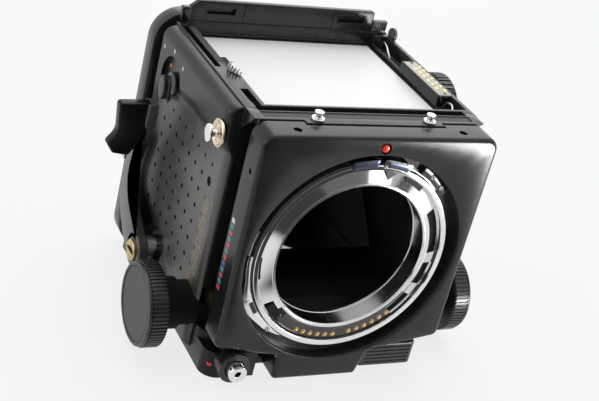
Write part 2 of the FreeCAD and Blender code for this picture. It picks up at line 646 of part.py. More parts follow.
@piece
def base_casting():
    """Flat base with the release block and the battery block under the lens panel."""
    slab = box("base_slab", ("-core_half", behind("base_front"), "0"),
               ("core_half", f"{BODY_BACK} - base_short", "base_top"))
    slab = rounded("base_slab_round", slab, "corner_round", Vector(0, 0, 1),
                   lambda point: point.y < size("front_y") + size("base_front") + 1)
    release = box("release_block", ("-core_half", behind("release_front"), "0"),
                  ("release_block_right", behind("base_front + corner_round"), "block_top"))
    release = rounded("release_block_round", release, "corner_round", Vector(0, 0, 1),
                      lambda point: point.x < -size("core_half") + 1
                      and point.y < size("front_y") + size("release_front") + 1)
    battery_start = behind("battery_front + battery_cover_thick + slide_gap")
    battery = box("battery_block", ("battery_left", battery_start, "battery_foot"),
                  ("battery_right", behind("base_front + corner_round"), "block_top"))
    button_bore = rod("release_bore", ("release_x", behind("release_front"), "release_z"), "Y",
                      "button_radius + turn_gap",
                      "button_length - button_proud - release_front + button_travel + slide_gap")
    dot = rod("dot_bore", ("dot_x", behind("release_front"), "dot_z"), "Y", "dot_radius",
              "dot_end - release_front")
    cell_bore = rod("battery_bore", ("cell_x", behind("cell_setback"), "cell_z"), "Y",
                    "cell_radius + slide_gap / 2", "cell_length + slide_gap")
    socket = rod("tripod_bush_bore", ("0", "0", "0"), "Z", "bush_outer", "socket_depth + bush_end")
    screws = [rod("base_screw_bore", (f"{side} * base_screw_x", behind(setback), "0"), "Z",
                  "base_screw_radius", "base_screw_depth")
              for side in (-1, 1) for setback in ("base_screw_front", "base_screw_back")]
    pockets = [rod("base_pocket", (sided(side, "rail_inner - slide_gap", "core_half")[0],
                                   behind("shaft_setback"), "shaft_z"), "X",
                   f"{PINION_TIP} + slide_gap", "core_half - rail_inner + slide_gap") for side in (-1, 1)]
    return cut("base_casting", fuse("base_solids", slab, release, battery),
               button_bore, dot, cell_bore, socket, *screws, *pockets)


@piece
def tripod_bush():
    """Bush let into the base, with a blind hole that opens downward."""
    return cut("tripod_bush",
               rod("bush_solid", ("0", "0", "0"), "Z", "bush_outer", "socket_depth + bush_end"),
               rod("bush_hole", ("0", "0", "0"), "Z", "socket_radius", "socket_depth"))


@piece
def base_screws():
    return group("base_screws", *[
        rod("base_screw", (f"{side} * base_screw_x", behind(setback), "0"), "Z",
            "base_screw_radius", "base_screw_depth")
        for side in (-1, 1) for setback in ("base_screw_front", "base_screw_back")])


# Middle of the slope round the right cover's dish: distance ahead of the cover's back, and height
DISH_LINE = [(26.5, 91.5), (8.5, 87.5), (2.5, 80.0), (5.5, 70.0), (6.7, 60.0), (3.7, 51.0), (2.3, 43.0),
             (4.5, 36.5), (10.0, 32.6), (19.0, 29.2), (30.5, 25.6), (39.5, 22.8), (46.5, 17.5), (49.5, 10.0)]


def cover_reach():
    """Setbacks of the side covers' front and back."""
    start = size("panel_thick") + size("bellows_gap") + size("cover_inset")
    return start, start - size("cover_inset") + size("body_depth") - size("cover_short")


def dish_line(shift=0.0):
    """Setback and height of the points down the dish's slope, moved outwards by a shift."""
    back = cover_reach()[1]
    points = [(back - ahead, height) for ahead, height in DISH_LINE]
    moved = []
    for number, (setback, height) in enumerate(points):
        before, after = points[max(number - 1, 0)], points[min(number + 1, len(points) - 1)]
        along, rise = after[0] - before[0], after[1] - before[1]
        length = math.hypot(along, rise)
        moved.append((min(setback - rise / length * shift, back - size("border_edge")),
                      height + along / length * shift))
    return moved


def inside_dish(setback, height, margin):
    """True where a dimple fits within the dish of the side cover."""
    line = dish_line()
    front, foot = cover_reach()[0], size("cover_foot")
    points = [(front, line[0][1])] + line + [(line[-1][0], foot), (front, foot)]
    for (ya, za), (yb, zb) in zip(points, points[1:] + points[:1]):
        length = math.hypot(yb - ya, zb - za)
        along = max(0.0, min(1.0, ((setback - ya) * (yb - ya) + (height - za) * (zb - za)) / length ** 2))
        if math.hypot(setback - ya - along * (yb - ya), height - za - along * (zb - za)) < margin:
            return False
    crossings = 0
    for (ya, za), (yb, zb) in zip(points, points[1:] + points[:1]):
        if (za > height) != (zb > height):
            if setback < ya + (height - za) * (yb - ya) / (zb - za):
                crossings += 1
    return crossings % 2 == 1


def dimple_places(fits):
    """Setback and height of each dimple of a side cover that passes a test."""
    places = []
    for column in range(int(size("dimple_columns"))):
        for row in range(int(size("dimple_rows"))):
            setback = size("dimple_setback") + column * size("dimple_pitch_y")
            height = size("dimple_foot") + row * size("dimple_pitch_z")
            if fits(setback, height):
                places.append((setback, height))
    return places


def dimples(name, side, places):
    """Shallow round blind holes in a side cover."""
    depth = size("dimple_depth")
    floor, front = side * (size("body_half") - depth), size("front_y")
    drills = [Part.makeCylinder(size("dimple_radius"), depth + size("cover_proud"),
                                Vector(floor, front + setback, height), Vector(side, 0, 0))
              for setback, height in places]
    return shaped(name, Part.makeCompound(drills))


def clear_of(setback, height, others):
    """True where a dimple stays off other round things, given as setback, height and radius."""
    margin = size("dimple_margin")
    return all(math.hypot(setback - y, height - z) > radius + margin for y, z, radius in others)


def dish_border():
    """Raised border round the dish, whose inner side slopes."""
    foot, top = size("cover_foot"), size("cover_top")
    front = size("front_y")
    start, end = (front + setback for setback in cover_reach())
    wires = []
    for reach, shift in ((0.0, -size("dish_slope")), (size("cover_proud"), size("dish_slope"))):
        face = -size("body_half") - reach
        edge = [Vector(face, front + setback, height) for setback, height in dish_line(shift)]
        curve = Part.BSplineCurve()
        curve.interpolate(edge)
        corners = [edge[-1], Vector(face, edge[-1].y, foot), Vector(face, end, foot),
                   Vector(face, end, top), Vector(face, start, top), Vector(face, start, edge[0].z),
                   edge[0]]
        runs = [Part.makeLine(near, far) for near, far in zip(corners, corners[1:])]
        wires.append(Part.Wire([curve.toShape()] + runs))
    return Part.makeLoft(wires, True, True)


def shoulder(side, face):
    """What the round along a side cover's top edge takes away."""
    run = f"{COVER_BACK} - {COVER_FRONT}"
    near, far = sided(side, f"{face} - shoulder_round", face)
    edge = box("shoulder_edge", (near, COVER_FRONT, "cover_top - shoulder_round"),
               (far, COVER_BACK, "cover_top"))
    curve = rod("shoulder_curve", (near if side > 0 else far, COVER_FRONT, "cover_top - shoulder_round"),
                "Y", "shoulder_round", run)
    return cut("shoulder", edge, curve)


@piece
def right_cover():
    """Cover on the camera's right: a dish of dimples within a raised border behind the lever."""
    plate = box("right_plate", ("-body_half", COVER_FRONT, "cover_foot"),
                ("-core_half", COVER_BACK, "cover_top"))
    border = shaped("right_border", dish_border())
    boss = rod("lever_boss", (f"-{LEVER_INNER}", behind("lever_setback"), "lever_z"), "X",
               "lever_boss", f"{LEVER_INNER} - body_half")
    lever_recess = tube("lever_recess", (f"-{DISH_FACE}", behind("lever_setback"), "lever_z"), "X",
                        "lever_recess", "lever_boss", "cover_proud")
    multi_recess = rod("multi_recess", (f"-{DISH_FACE}", MULTI_Y, "multi_z"), "X",
                       "multi_recess", "multi_depth")
    bush = rod("right_bush_hole", ("-body_half", behind("shaft_setback"), "shaft_z"), "X",
               "bush_radius", "body_half - core_half")
    knob = (size("shaft_setback"), size("shaft_z"), size("bush_radius"))
    lever = (size("lever_setback"), size("lever_z"), size("lever_recess"))
    holes = dimples("right_dimples", -1, dimple_places(
        lambda setback, height: inside_dish(setback, height, size("dimple_margin"))
        and clear_of(setback, height, [knob, lever])))
    shell = cut("right_shell", fuse("right_walls", plate, border), lever_recess, multi_recess,
                shoulder(-1, DISH_FACE))
    return cut("right_cover", fuse("right_solids", shell, boss), bush, holes)


@piece
def left_cover():
    """Cover on the camera's left: it carries the speed dial and the accessory shoe."""
    plate = box("left_plate", ("core_half", COVER_FRONT, "cover_foot"),
                ("body_half", COVER_BACK, "cover_top"))
    upper = box("left_upper", ("body_half", COVER_FRONT, "dial_step_foot"),
                ("body_half + dial_step", COVER_BACK, "cover_top"))
    bush = rod("left_bush_hole", ("core_half", behind("shaft_setback"), "shaft_z"), "X",
               "bush_radius", "body_half - core_half")
    knob = (size("shaft_setback"), size("shaft_z"), size("bush_radius"))
    remote = (size("remote_setback"), size("remote_z"), size("remote_radius"))
    lock = (size("lock_lever_setback"), size("lock_lever_z"), size("lock_lever_hub"))
    shoe_middle = size("shoe_setback") + size("shoe_wide") / 2
    shoe = (shoe_middle, size("shoe_foot") + size("shoe_long") / 2, size("shoe_wide") * 0.7)

    def fits(setback, height):
        below = height < size("dial_step_foot") - size("dimple_margin")
        return below and clear_of(setback, height, [knob, remote, lock, shoe])

    remote_hole = rod("left_remote_hole", ("core_half", behind("remote_setback"), "remote_z"), "X",
                      "remote_radius", "body_half - core_half")
    tab = rod("left_tab", ("tab_x", behind("tab_setback"), "tab_z"), "X", "tab_radius", "tab_thick")
    shell = cut("left_shell", fuse("left_solids", plate, upper), bush, remote_hole,
                dimples("left_dimples", 1, dimple_places(fits)), shoulder(1, "(body_half + dial_step)"))
    return fuse("left_cover", shell, tab)


# Hollows of the frame round the screen well, as the corners of boxes
TOP_HOLLOWS = (
    (("-well_left", behind("well_setback"), "seat_z"), ("well_right", BAR_FRONT, "top_z")),
    (("-well_left", behind("mouth_setback"), "mouth_foot"),
     ("pocket_right", behind("finder_contact_start"), "top_z")),
    (("finder_contact_left", behind("finder_contact_start"), "finder_contact_foot"),
     ("finder_contact_right", behind("finder_contact_end"), "top_z")),
    (("well_right", behind("finder_contact_end"), "ledge_foot"),
     ("pocket_right", behind("pocket_end"), "top_z")),
    (("well_right + pocket_wall", behind("finder_contact_end"), "pocket_foot"),
     ("pocket_right", behind("pocket_end"), "top_z")),
    (("-(well_left + ledge_width)", behind("ledge_start"), "ledge_foot"),
     ("-well_left", BAR_FRONT, "top_z")),
    (("-left_trough_outer", behind("left_trough_start"), "trough_foot"),
     ("-left_trough_inner", behind("left_trough_end"), "top_z")),
    (("-front_trough_outer", behind("groove_back"), "trough_foot"),
     ("-front_trough_inner", behind("front_trough_end"), "top_z")),
    (("-groove_half", BODY_FRONT, "groove_foot"), ("groove_half", behind("groove_back"), "top_z")),
    (("-core_half", BAR_FRONT, "bar_foot"), ("core_half", BODY_BACK, "top_z")),
)
# Spring wires beside the screen well: middle line, foot, front end and back end
CLIPS = (
    ("(finder_contact_left + pocket_right) / 2", "mouth_foot", "mouth_setback", "finder_contact_start"),
    ("(well_right + pocket_wall + pocket_right) / 2", "pocket_foot", "finder_contact_end", "pocket_end"),
    ("-(front_trough_outer + front_trough_inner) / 2", "trough_foot", "groove_back", "front_trough_end"),
    ("-(left_trough_outer + left_trough_inner) / 2", "trough_foot", "left_trough_start", "left_trough_end"),
)


@piece
def top_frame():
    """Frame round the screen well, with the pockets and troughs beside the well."""
    block = box("top_block", ("-core_half", BODY_FRONT, "seat_z"), ("core_half", BODY_BACK, "top_z"))
    return cut("top_frame", block, *[box("top_hollow", low, high) for low, high in TOP_HOLLOWS])


@piece
def finder_shelf():
    """Shelf that roofs the bellows and carries the finder's front studs."""
    start, front = behind("shelf_start"), behind("shelf_setback")
    slab = box("shelf_slab", ("-(core_half - gusset_thick)", start, "shelf_foot"),
               ("core_half - gusset_thick", BODY_FRONT, "top_z"))
    tongue = box("shelf_tongue", ("-shelf_half", front, "shelf_foot"), ("shelf_half", start, "top_z"))
    gussets = []
    setback = size("panel_thick") + size("bellows_gap")
    for low in (-size("core_half"), size("core_half") - size("gusset_thick")):
        corners = [Vector(low, size("front_y") + reach, height)
                   for reach, height in ((setback, size("gusset_foot")), (setback, size("top_z")),
                                         (size("shelf_start"), size("top_z")))]
        gussets.append(shaped("shelf_gusset", prism(corners, Vector(size("gusset_thick"), 0, 0))))
    deep = box("shelf_deep_groove", ("-groove_half", behind("groove_front"), "groove_foot"),
               ("groove_half", BODY_FRONT, "top_z"))
    shallow = box("shelf_seal_groove", ("-groove_half", behind("seal_front"), "top_z - seal_depth"),
                  ("groove_half", behind("seal_back"), "top_z"))
    return cut("finder_shelf", fuse("shelf_solids", slab, tongue, *gussets), deep, shallow)


@piece
def finder_studs():
    """Two studs with a wide foot and a head, which a finder hooks under."""
    studs = []
    for side in (-1, 1):
        x, y = f"{side} * stud_x", behind("stud_setback")
        studs.append(fuse("finder_stud",
                          rod("stud_neck", (x, y, "top_z"), "Z", "stud_neck", "stud_high"),
                          rod("stud_foot", (x, y, "top_z"), "Z", "stud_disc", "stud_flange"),
                          rod("stud_head", (x, y, "top_z + stud_high - stud_flange"), "Z",
                              "stud_head", "stud_flange")))
    return group("finder_studs", *studs)


@piece
def screen_frame():
    """Metal frame that holds the focusing screen in the well."""
    inner_back = f"({BODY_BACK} - well_rear_wall - screen_fit - frame_width)"
    outer = box("screen_frame_outer",
                ("-(well_left - screen_fit)", behind("well_setback + screen_fit"), "seat_z"),
                ("well_right - screen_fit", f"{inner_back} + frame_width", FRAME_TOP))
    inner = box("screen_frame_inner", ("-(well_left - screen_fit - frame_width)",
                                       behind("well_setback + screen_fit + frame_width"), "seat_z"),
                ("well_right - screen_fit - frame_width", inner_back, FRAME_TOP))
    return cut("screen_frame", outer, inner)


@piece
def focusing_screen():
    body = new_body("focusing_screen")
    plan = sketch_on(body, "XY_Plane", "seat_z")
    rectangle(plan, ("-(well_left - screen_fit - frame_width)",
                     behind("well_setback + screen_fit + frame_width")),
              ("well_right - screen_fit - frame_width",
               f"{BODY_BACK} - well_rear_wall - screen_fit - frame_width"))
    feature(body, "Pad", plan, "screen_thick")
    return body


@piece
def screen_clips():
    """Bent spring wires that press the finder, standing in the troughs beside the well."""
    wires = []
    for middle, foot, near, far in CLIPS:
        start, end = behind(f"{near} + clip_inset"), behind(f"{far} - clip_inset")
        rise = f"(top_z - {foot} - clip_low)"
        wires.append(fuse("screen_clip",
                          rod("clip_leg", (middle, start, foot), "Z", "clip_wire", rise),
                          rod("clip_run", (middle, f"{start} - clip_wire", "top_z - clip_low - clip_wire"),
                              "Y", "clip_wire", f"{end} - {start} + 2 * clip_wire"),
                          rod("clip_end", (middle, end, foot), "Z", "clip_wire", rise)))
    return group("screen_clips", *wires)


@piece
def finder_contact_block():
    """Block beside the well that carries the finder's contacts."""
    block = box("contact_bar", ("finder_contact_left", behind("finder_contact_start"),
                                "finder_contact_foot"),
                ("finder_contact_right", behind("finder_contact_end"), "top_z"))
    holes = [rod("contact_bar_hole", ("finder_hole_x", behind(setback), "top_z - finder_hole_deep"), "Z",
                 "finder_hole", "finder_hole_deep")
             for setback in ("finder_contact_start + finder_hole_inset",
                             "finder_contact_end - finder_hole_inset")]
    return cut("finder_contact_block", block, *holes)


@piece
def finder_contacts():
    """Two staggered columns of contacts on the block beside the well."""
    rows, pitch = int(size("finder_pin_rows")), size("finder_pin_pitch")
    first = size("front_y") + size("finder_pin_first")
    places = [(size("finder_pin_outer"), first + row * pitch) for row in range(rows)]
    places += [(size("finder_pin_inner"), first + (row + 0.5) * pitch) for row in range(rows - 1)]
    pins = [Part.makeCylinder(size("finder_pin"), size("finder_pin_high"), Vector(x, y, size("top_z")))
            for x, y in places]
    return shaped("finder_contacts", Part.makeCompound(pins))


@piece
def rear_bar():
    """Bar behind the well with the two slots that the finder's hooks enter."""
    bar_back = f"({BAR_FRONT} + bar_thick)"
    lower = box("bar_lower", ("-bar_left", BAR_FRONT, "bar_foot"), ("core_half", bar_back, "bar_step_z"))
    upper = box("bar_upper", ("-bar_left", f"{BAR_FRONT} + bar_step", "bar_step_z"),
                ("bar_right", bar_back, "bar_top"))
    slots = [box("bar_slot", (near, BAR_FRONT, "catch_slot_z"),
                 (far, f"{BAR_FRONT} + catch_slot_deep", "catch_slot_z + catch_slot_high"))
             for near, far in (sided(side, "catch_slot_left", "catch_slot_right") for side in (-1, 1))]
    groove = box("bar_groove", ("bar_groove_left", BAR_FRONT, "bar_groove_foot"),
                 ("bar_groove_right", f"{BAR_FRONT} + bar_step + bar_groove_deep",
                  "bar_groove_foot + bar_groove_high"))
    return cut("rear_bar", fuse("bar_solids", lower, upper), groove, *slots)


@piece
def finder_release_knob():
    """Ribbed knob that slides along the rear bar to free the finder."""
    front, back = f"({BAR_FRONT} + bar_step)", f"({BAR_FRONT} + bar_thick)"
    start = "(bar_right + catch_stop)"
    grip = box("catch_grip", (start, front, "catch_foot"),
               (f"{start} + catch_knob_length", back, "catch_top"))
    pitch = "(catch_knob_length / catch_ribs)"
    ribs = [box("catch_rib", (f"{start} + {number} * {pitch}", f"{front} - catch_rib_high", "catch_foot"),
                (f"{start} + ({number} + 0.5) * {pitch}", front, "catch_top"))
            for number in range(int(size("catch_ribs")))]
    foot = box("catch_base", (start, front, "bar_step_z + slide_gap / 2"),
               (f"{start} + catch_knob_length * 0.6", back, "catch_foot"))
    return fuse("finder_release_knob", grip, foot, *ribs)


def lug_sides():
    """Side, and the face that the strap lug of that side stands on."""
    return ((-1, DISH_FACE), (1, "(body_half + dial_step)"))


@piece
def strap_washers():
    washers = []
    for side, face in lug_sides():
        near, far = sided(side, face, f"{face} + lug_washer_thick")
        washers.append(tube("strap_washer", (near, behind("lug_setback"), "lug_z"), "X",
                            "lug_washer", "lug_neck", f"({far}) - ({near})"))
    return group("strap_washers", *washers)


@piece
def strap_lugs():
    """Headed studs that a strap's end hooks over."""
    lugs = []
    for side, face in lug_sides():
        near, far = sided(side, face, f"{face} + lug_reach")
        neck = rod("strap_neck", (near, behind("lug_setback"), "lug_z"), "X", "lug_neck",
                   f"({far}) - ({near})")
        near, far = sided(side, f"{face} + lug_reach - lug_head_thick", f"{face} + lug_reach")
        head = rod("strap_head", (near, behind("lug_setback"), "lug_z"), "X", "lug_head",
                   f"({far}) - ({near})")
        lugs.append(fuse("strap_lug", neck, head))
    return group("strap_lugs", *lugs)


@piece
def focus_bushes():
    """Bushes that carry the focusing shaft through the side covers."""
    bushes = []
    for side in (-1, 1):
        near, far = sided(side, "core_half", f"{KNOB_INNER} - slide_gap")
        bushes.append(tube("focus_bush", (near, behind("shaft_setback"), "shaft_z"), "X",
                           "bush_radius", "shaft_radius + turn_gap", f"({far}) - ({near})"))
    return group("focus_bushes", *bushes)


@piece
def mirror_pin():
    return rod("mirror_pin", ("-core_half", behind("hinge_setback"), "hinge_z"), "X",
               "hinge_pin", "2 * core_half")


@piece
def release_dot():
    """Mark beside the release collar."""
    return rod("release_dot", ("dot_x", behind("dot_setback"), "dot_z"), "Y", "dot_radius",
               "dot_end - dot_setback")


@piece
def battery():
    return rod("battery", ("cell_x", behind("cell_setback + slide_gap / 2"), "cell_z"), "Y",
               "cell_radius", "cell_length")


@piece
def accessory_shoe():
    """Shoe with two lips that a flash's foot slides under from above."""
    face = "body_half"
    start, middle = behind("shoe_setback"), behind("shoe_setback + shoe_wide / 2")
    end = behind("shoe_setback + shoe_wide")
    top = "(shoe_foot + shoe_long)"
    inner = f"({face} + shoe_floor)"
    outer = f"({inner} + shoe_gap + shoe_lip)"
    block = box("shoe_block", (face, start, "shoe_foot"), (outer, end, top))
    slot = box("shoe_slot_space", (inner, f"{middle} - shoe_slot / 2", "shoe_foot + shoe_stop"),
               (f"{inner} + shoe_gap", f"{middle} + shoe_slot / 2", top))
    mouth = box("shoe_mouth_space", (f"{inner} + shoe_gap", f"{middle} - shoe_mouth / 2", "shoe_foot"),
                (outer, f"{middle} + shoe_mouth / 2", top))
    return cut("accessory_shoe", block, slot, mouth)


@piece
def remote_socket():
    """Round socket for a remote release."""
    outer = rod("remote_collar", ("core_half", behind("remote_setback"), "remote_z"), "X",
                "remote_radius", "body_half + remote_high - core_half")
    bore = rod("remote_bore", ("body_half - remote_sunk", behind("remote_setback"), "remote_z"), "X",
               "remote_bore", "remote_high + remote_sunk")
    return cut("remote_socket", outer, bore)


@piece
def revolving_ring():
    """Ring on the body's back that the film adapter turns about."""
    return tube("revolving_ring", ("0", BODY_BACK, "axis_z"), "Y", "ring_outer", "ring_inner",
                "ring_length")


# The lens panel and what travels with it
@piece
def front_panel():
    """Lens panel with its chin, the recess round the mount and the notch under the finder shelf."""
    body = new_body("front_panel")
    face = sketch_on(body, "XZ_Plane", f"-{PANEL_BACK}")
    outline(face, [("-panel_half", "panel_side_foot"), ("-chin_left", "chin_top"),
                   ("-chin_left", "chin_foot"),
                   ("chin_right - chin_slant", "chin_foot"), ("chin_right", "chin_top"),
                   ("panel_half", "panel_side_foot"), ("panel_half", "panel_top"),
                   ("-panel_half", "panel_top")])
    slab = feature(body, "Pad", face, "panel_thick")
    rounds = round_off(body, slab, "panel_round", Vector(0, 1, 0),
                       lambda point: point.z > size("panel_top") - 1)
    rounds = round_off(body, rounds, "foot_round", Vector(0, 1, 0),
                       lambda point: abs(point.x) > size("panel_half") - 1 and point.z < size("axis_z"))
    front = size("front_y")
    rim = [number for number, edge in enumerate(rounds.Shape.Edges, start=1)
           if edge.BoundBox.YMax < front + 0.01]
    rounds = fillet_of(body, rounds, "face_round", rim)
    body.Tip = rounds
    plan = sketch_on(body, "XZ_Plane", "-front_y")
    circle(plan, ("0", "axis_z"), "recess_radius")
    feature(body, "Pocket", plan, "recess_depth")
    plan = sketch_on(body, "XZ_Plane", "-front_y")
    circle(plan, ("0", "axis_z"), THROAT_OUTER)
    feature(body, "Pocket", plan, "panel_thick")
    plan = sketch_on(body, "XZ_Plane", f"-{FLANGE_BACK}")
    circle(plan, ("0", "axis_z"), "rim_inner")
    feature(body, "Pocket", plan, "drive_thick + slide_gap")
    plan = sketch_on(body, "XZ_Plane", "-front_y")
    circle(plan, ("0", "index_z"), "index_seat")
    feature(body, "Pocket", plan, "index_depth")
    plan = sketch_on(body, "XY_Plane", "panel_top")
    for side in (-1, 1):
        circle(plan, (f"{side} * panel_screw_x", behind("panel_screw_setback")), "panel_hole")
    feature(body, "Pocket", plan, "panel_hole_depth")
    plan = sketch_on(body, "XY_Plane", "panel_top")
    rectangle(plan, ("-notch_half", f"{PANEL_BACK} - notch_depth"), ("notch_half", PANEL_BACK))
    feature(body, "Pocket", plan, "panel_top - notch_foot")
    return body


@piece
def panel_screws():
    """Small screws sunk in the top of the lens panel."""
    foot = "panel_top - panel_hole_depth"
    return group("panel_screws", *[
        rod("panel_screw", (f"{side} * panel_screw_x", behind("panel_screw_setback"), foot),
            "Z", "small_screw", "panel_screw_high") for side in (-1, 1)])


@piece
def index_dot():
    """Mark that a lens is lined up with."""
    return rod("index_dot", ("0", "front_y - index_proud", "index_z"), "Y", "index_radius",
               "index_depth + index_proud")


# Lugs of the mount that its screws go through, and the drive slots: start angle and sweep
LUG_ARCS = ((200.0, 38.0), (312.0, 11.0), (335.0, 15.0), (33.0, 24.0))
SLOT_ARCS = ((168.0, 36.0), (-13.0, 36.0))


@piece
def mount_flange():
    """Floor of the lens mount with its screw lugs and the two slots of the drive dogs."""
    front, back = behind("flange_setback"), FLANGE_BACK
    floor = tube("flange_floor", ("0", front, "axis_z"), "Y", "flange_radius", THROAT_OUTER,
                 f"{back} - {front}")
    lugs = [sector("flange_lug", front, back, "lug_radius", "flange_radius - 1", start, sweep)
            for start, sweep in LUG_ARCS]
    slots = [sector("flange_slot", front, back, "slot_outer", "slot_inner", start, sweep)
             for start, sweep in SLOT_ARCS]
    return cut("mount_flange", fuse("flange_solids", floor, *lugs), *slots)


@piece
def seat_ring():
    """Ring that the lens seats on, ahead of the mount's floor."""
    return tube("seat_ring", ("0", behind("rim_setback"), "axis_z"), "Y", "flange_radius", "rim_inner",
                "flange_setback - rim_setback")


@piece
def throat_tube():
    return tube("throat_tube", ("0", behind("throat_setback"), "axis_z"), "Y", THROAT_OUTER,
                "throat_radius", "throat_length")


MOUNT_SCREW_ANGLES = (209.8, 233.3, 40.0, 49.8)


@piece
def mount_screws():
    """Screws through the lugs of the lens mount."""
    screws = []
    start = behind("flange_setback - mount_screw_high")
    for angle in MOUNT_SCREW_ANGLES:
        across, up = math.cos(math.radians(angle)), math.sin(math.radians(angle))
        centre = (f"{across} * screw_circle", start, f"axis_z + {up} * screw_circle")
        screws.append(rod("mount_screw", centre, "Y", "small_screw", "mount_screw_high"))
    return group("mount_screws", *screws)


# Start angle and sweep of the catch and of the plate beside it, on the seat ring
CATCH_ARC = (69.0, 15.0)
PLATE_ARC = (88.0, 15.0)


@piece
def lens_catch():
    """Block on the seat ring that a lens's locking ring runs against."""
    return sector("lens_catch", behind("rim_setback - catch_high"), behind("rim_setback"),
                  "flange_radius", "rim_inner", *CATCH_ARC)


@piece
def catch_plate():
    """Thin plate on the seat ring beside the catch."""
    return sector("catch_plate", behind("rim_setback - plate_high"), behind("rim_setback"),
                  "flange_radius", "rim_inner", *PLATE_ARC)


# The place in the row of lens contacts that stays empty, counted from nought
EMPTY_PLACE = 6


@piece
def contact_carrier():
    """Curved block at the foot of the mount that carries the lens contacts."""
    return sector("contact_carrier", behind("flange_setback - contact_floor"), behind("flange_setback"),
                  "rim_inner - slide_gap", f"{THROAT_OUTER} + slide_gap",
                  size("pin_start") - size("pin_pitch") / 2, "pin_count * pin_pitch")


@piece
def lens_contacts():
    """Row of contact pins, with the seventh place left out."""
    pins = []
    front = size("front_y") + size("flange_setback") - size("contact_floor")
    for number in range(int(size("pin_count"))):
        if number == EMPTY_PLACE:
            continue
        angle = math.radians(size("pin_start") + number * size("pin_pitch"))
        centre = Vector(size("pin_circle") * math.cos(angle), front - size("pin_high"),
                        size("axis_z") + size("pin_circle") * math.sin(angle))
        pins.append(Part.makeCylinder(size("pin_radius"), size("pin_high"), centre, Vector(0, 1, 0)))
    return shaped("lens_contacts", Part.makeCompound(pins))


@piece
def drive_ring():
    """Ring behind the mount's floor whose two dogs wind the lens's shutter."""
    ring = tube("drive_band", ("0", f"{FLANGE_BACK} + slide_gap / 2", "axis_z"), "Y",
                "rim_inner - slide_gap", f"{THROAT_OUTER} + slide_gap", "drive_thick")
    dogs = [sector("drive_dog", behind("flange_setback - dog_proud"), f"{FLANGE_BACK} + drive_thick / 2",
                   "slot_outer - slide_gap", "slot_inner + slide_gap", start + size("dog_slack"),
                   "dog_sweep")
            for start, sweep in SLOT_ARCS]
    return fuse("drive_ring", ring, *dogs)


def tooth_flank(radius, pitch_radius, half_angle):
    """Half the angle of an involute tooth at a radius."""
    base = pitch_radius * math.cos(math.radians(20))
    if radius <= base:
        radius = base
    turn = math.acos(base / radius)
    start = math.radians(20)
    return half_angle + (math.tan(start) - start) - (math.tan(turn) - turn)


def pinion_outline(x):
    """Points round a pinion whose tooth gap faces straight up."""
    teeth, module = int(size("gear_teeth")), size("gear_module")
    pitch = module * teeth / 2
    half = math.pi / (2 * teeth) - size("gear_slack") / pitch
    radii = (pitch - 1.25 * module, pitch - 0.35 * module, pitch, pitch + 0.8 * module)
    centre = (size("front_y") + size("shaft_setback"), size("shaft_z"))
    points = []
    for tooth in range(teeth):
        middle = math.pi / 2 + (tooth + 0.5) * 2 * math.pi / teeth
        flanks = [(radius, -tooth_flank(radius, pitch, half)) for radius in radii]
        flanks += [(radius, tooth_flank(radius, pitch, half)) for radius in reversed(radii)]
        points += [Vector(x, centre[0] + radius * math.cos(middle + turn),
                          centre[1] + radius * math.sin(middle + turn)) for radius, turn in flanks]
    return points


@piece
def pinions():
    """Two pinions on the focusing shaft, each in mesh with its rack."""
    solids = []
    outer = size("knob_outer")
    start = Vector(-outer, size("front_y") + size("shaft_setback"), size("shaft_z"))
    bore = Part.makeCylinder(size("shaft_radius"), 2 * outer, start, Vector(1, 0, 0))
    for side in (-1, 1):
        start = size("rail_inner") if side > 0 else -size("rail_inner") - size("rail_width")
        gear = prism(pinion_outline(start), Vector(size("rail_width"), 0, 0))
        solids.append(gear.cut(bore))
    return shaped("pinions", Part.makeCompound(solids))


def rack_shape(side):
    """Rail behind the lens panel with its teeth facing down to the pinion."""
    module, pitch = size("gear_module"), size("gear_module") * math.pi
    level = size("shaft_z") + module * size("gear_teeth") / 2
    tip, root = level - 0.8 * module, level + 1.15 * module
    slope = math.tan(math.radians(20))
    half = pitch / 4 - size("gear_slack")
    front = size("front_y") + size("panel_thick")
    end = front + size("rail_length")
    shaft = size("front_y") + size("shaft_setback")
    x = side * size("rail_inner") if side > 0 else -size("rail_inner") - size("rail_width")
    points = [Vector(x, front, root)]
    for number in range(-1, int(math.ceil(size("focus_travel") / pitch)) + 2):
        middle = shaft + number * pitch
        foot, peak = half + (root - level) * slope, half - (level - tip) * slope
        for across, height in ((-foot, root), (-peak, tip), (peak, tip), (foot, root)):
            points.append(Vector(x, middle + across, height))
    points += [Vector(x, end, root), Vector(x, end, root + size("rail_height")),
               Vector(x, front, root + size("rail_height"))]
    return prism(points, Vector(size("rail_width"), 0, 0))


@piece
def right_rack():
    return shaped("right_rack", rack_shape(-1))


@piece
def left_rack():
    return shaped("left_rack", rack_shape(1))


@piece
def bellows():
    """Folded bellows between the lens panel and the mirror box."""
    front = size("front_y") + size("panel_thick")
    pleats = int(size("pleat_count"))
    step = size("bellows_gap") / (2 * pleats)

    def skin(inset):
        frames = []
        for number in range(2 * pleats + 1):
            fold = inset + (size("pleat_depth") if number % 2 == 0 else 0.0)
            y = front + number * step
            half = size("bellows_half") - fold
            foot, top = size("bellows_foot") + fold, size("bellows_top") - fold
            corners = [Vector(x, y, z) for x, z in ((-half, foot), (half, foot), (half, top), (-half, top))]
            frames.append(Part.makePolygon(corners + corners[:1]))
        return Part.makeLoft(frames, True, True)

    return shaped("bellows", skin(0.0).cut(skin(size("bellows_wall"))))


# Focusing knobs and their shaft
@piece
def focus_shaft():
    end = "(knob_outer - knob_cap_depth - knob_web)"
    return rod("focus_shaft", (f"-{end}", behind("shaft_setback"), "shaft_z"), "X", "shaft_radius",
               f"2 * {end}")


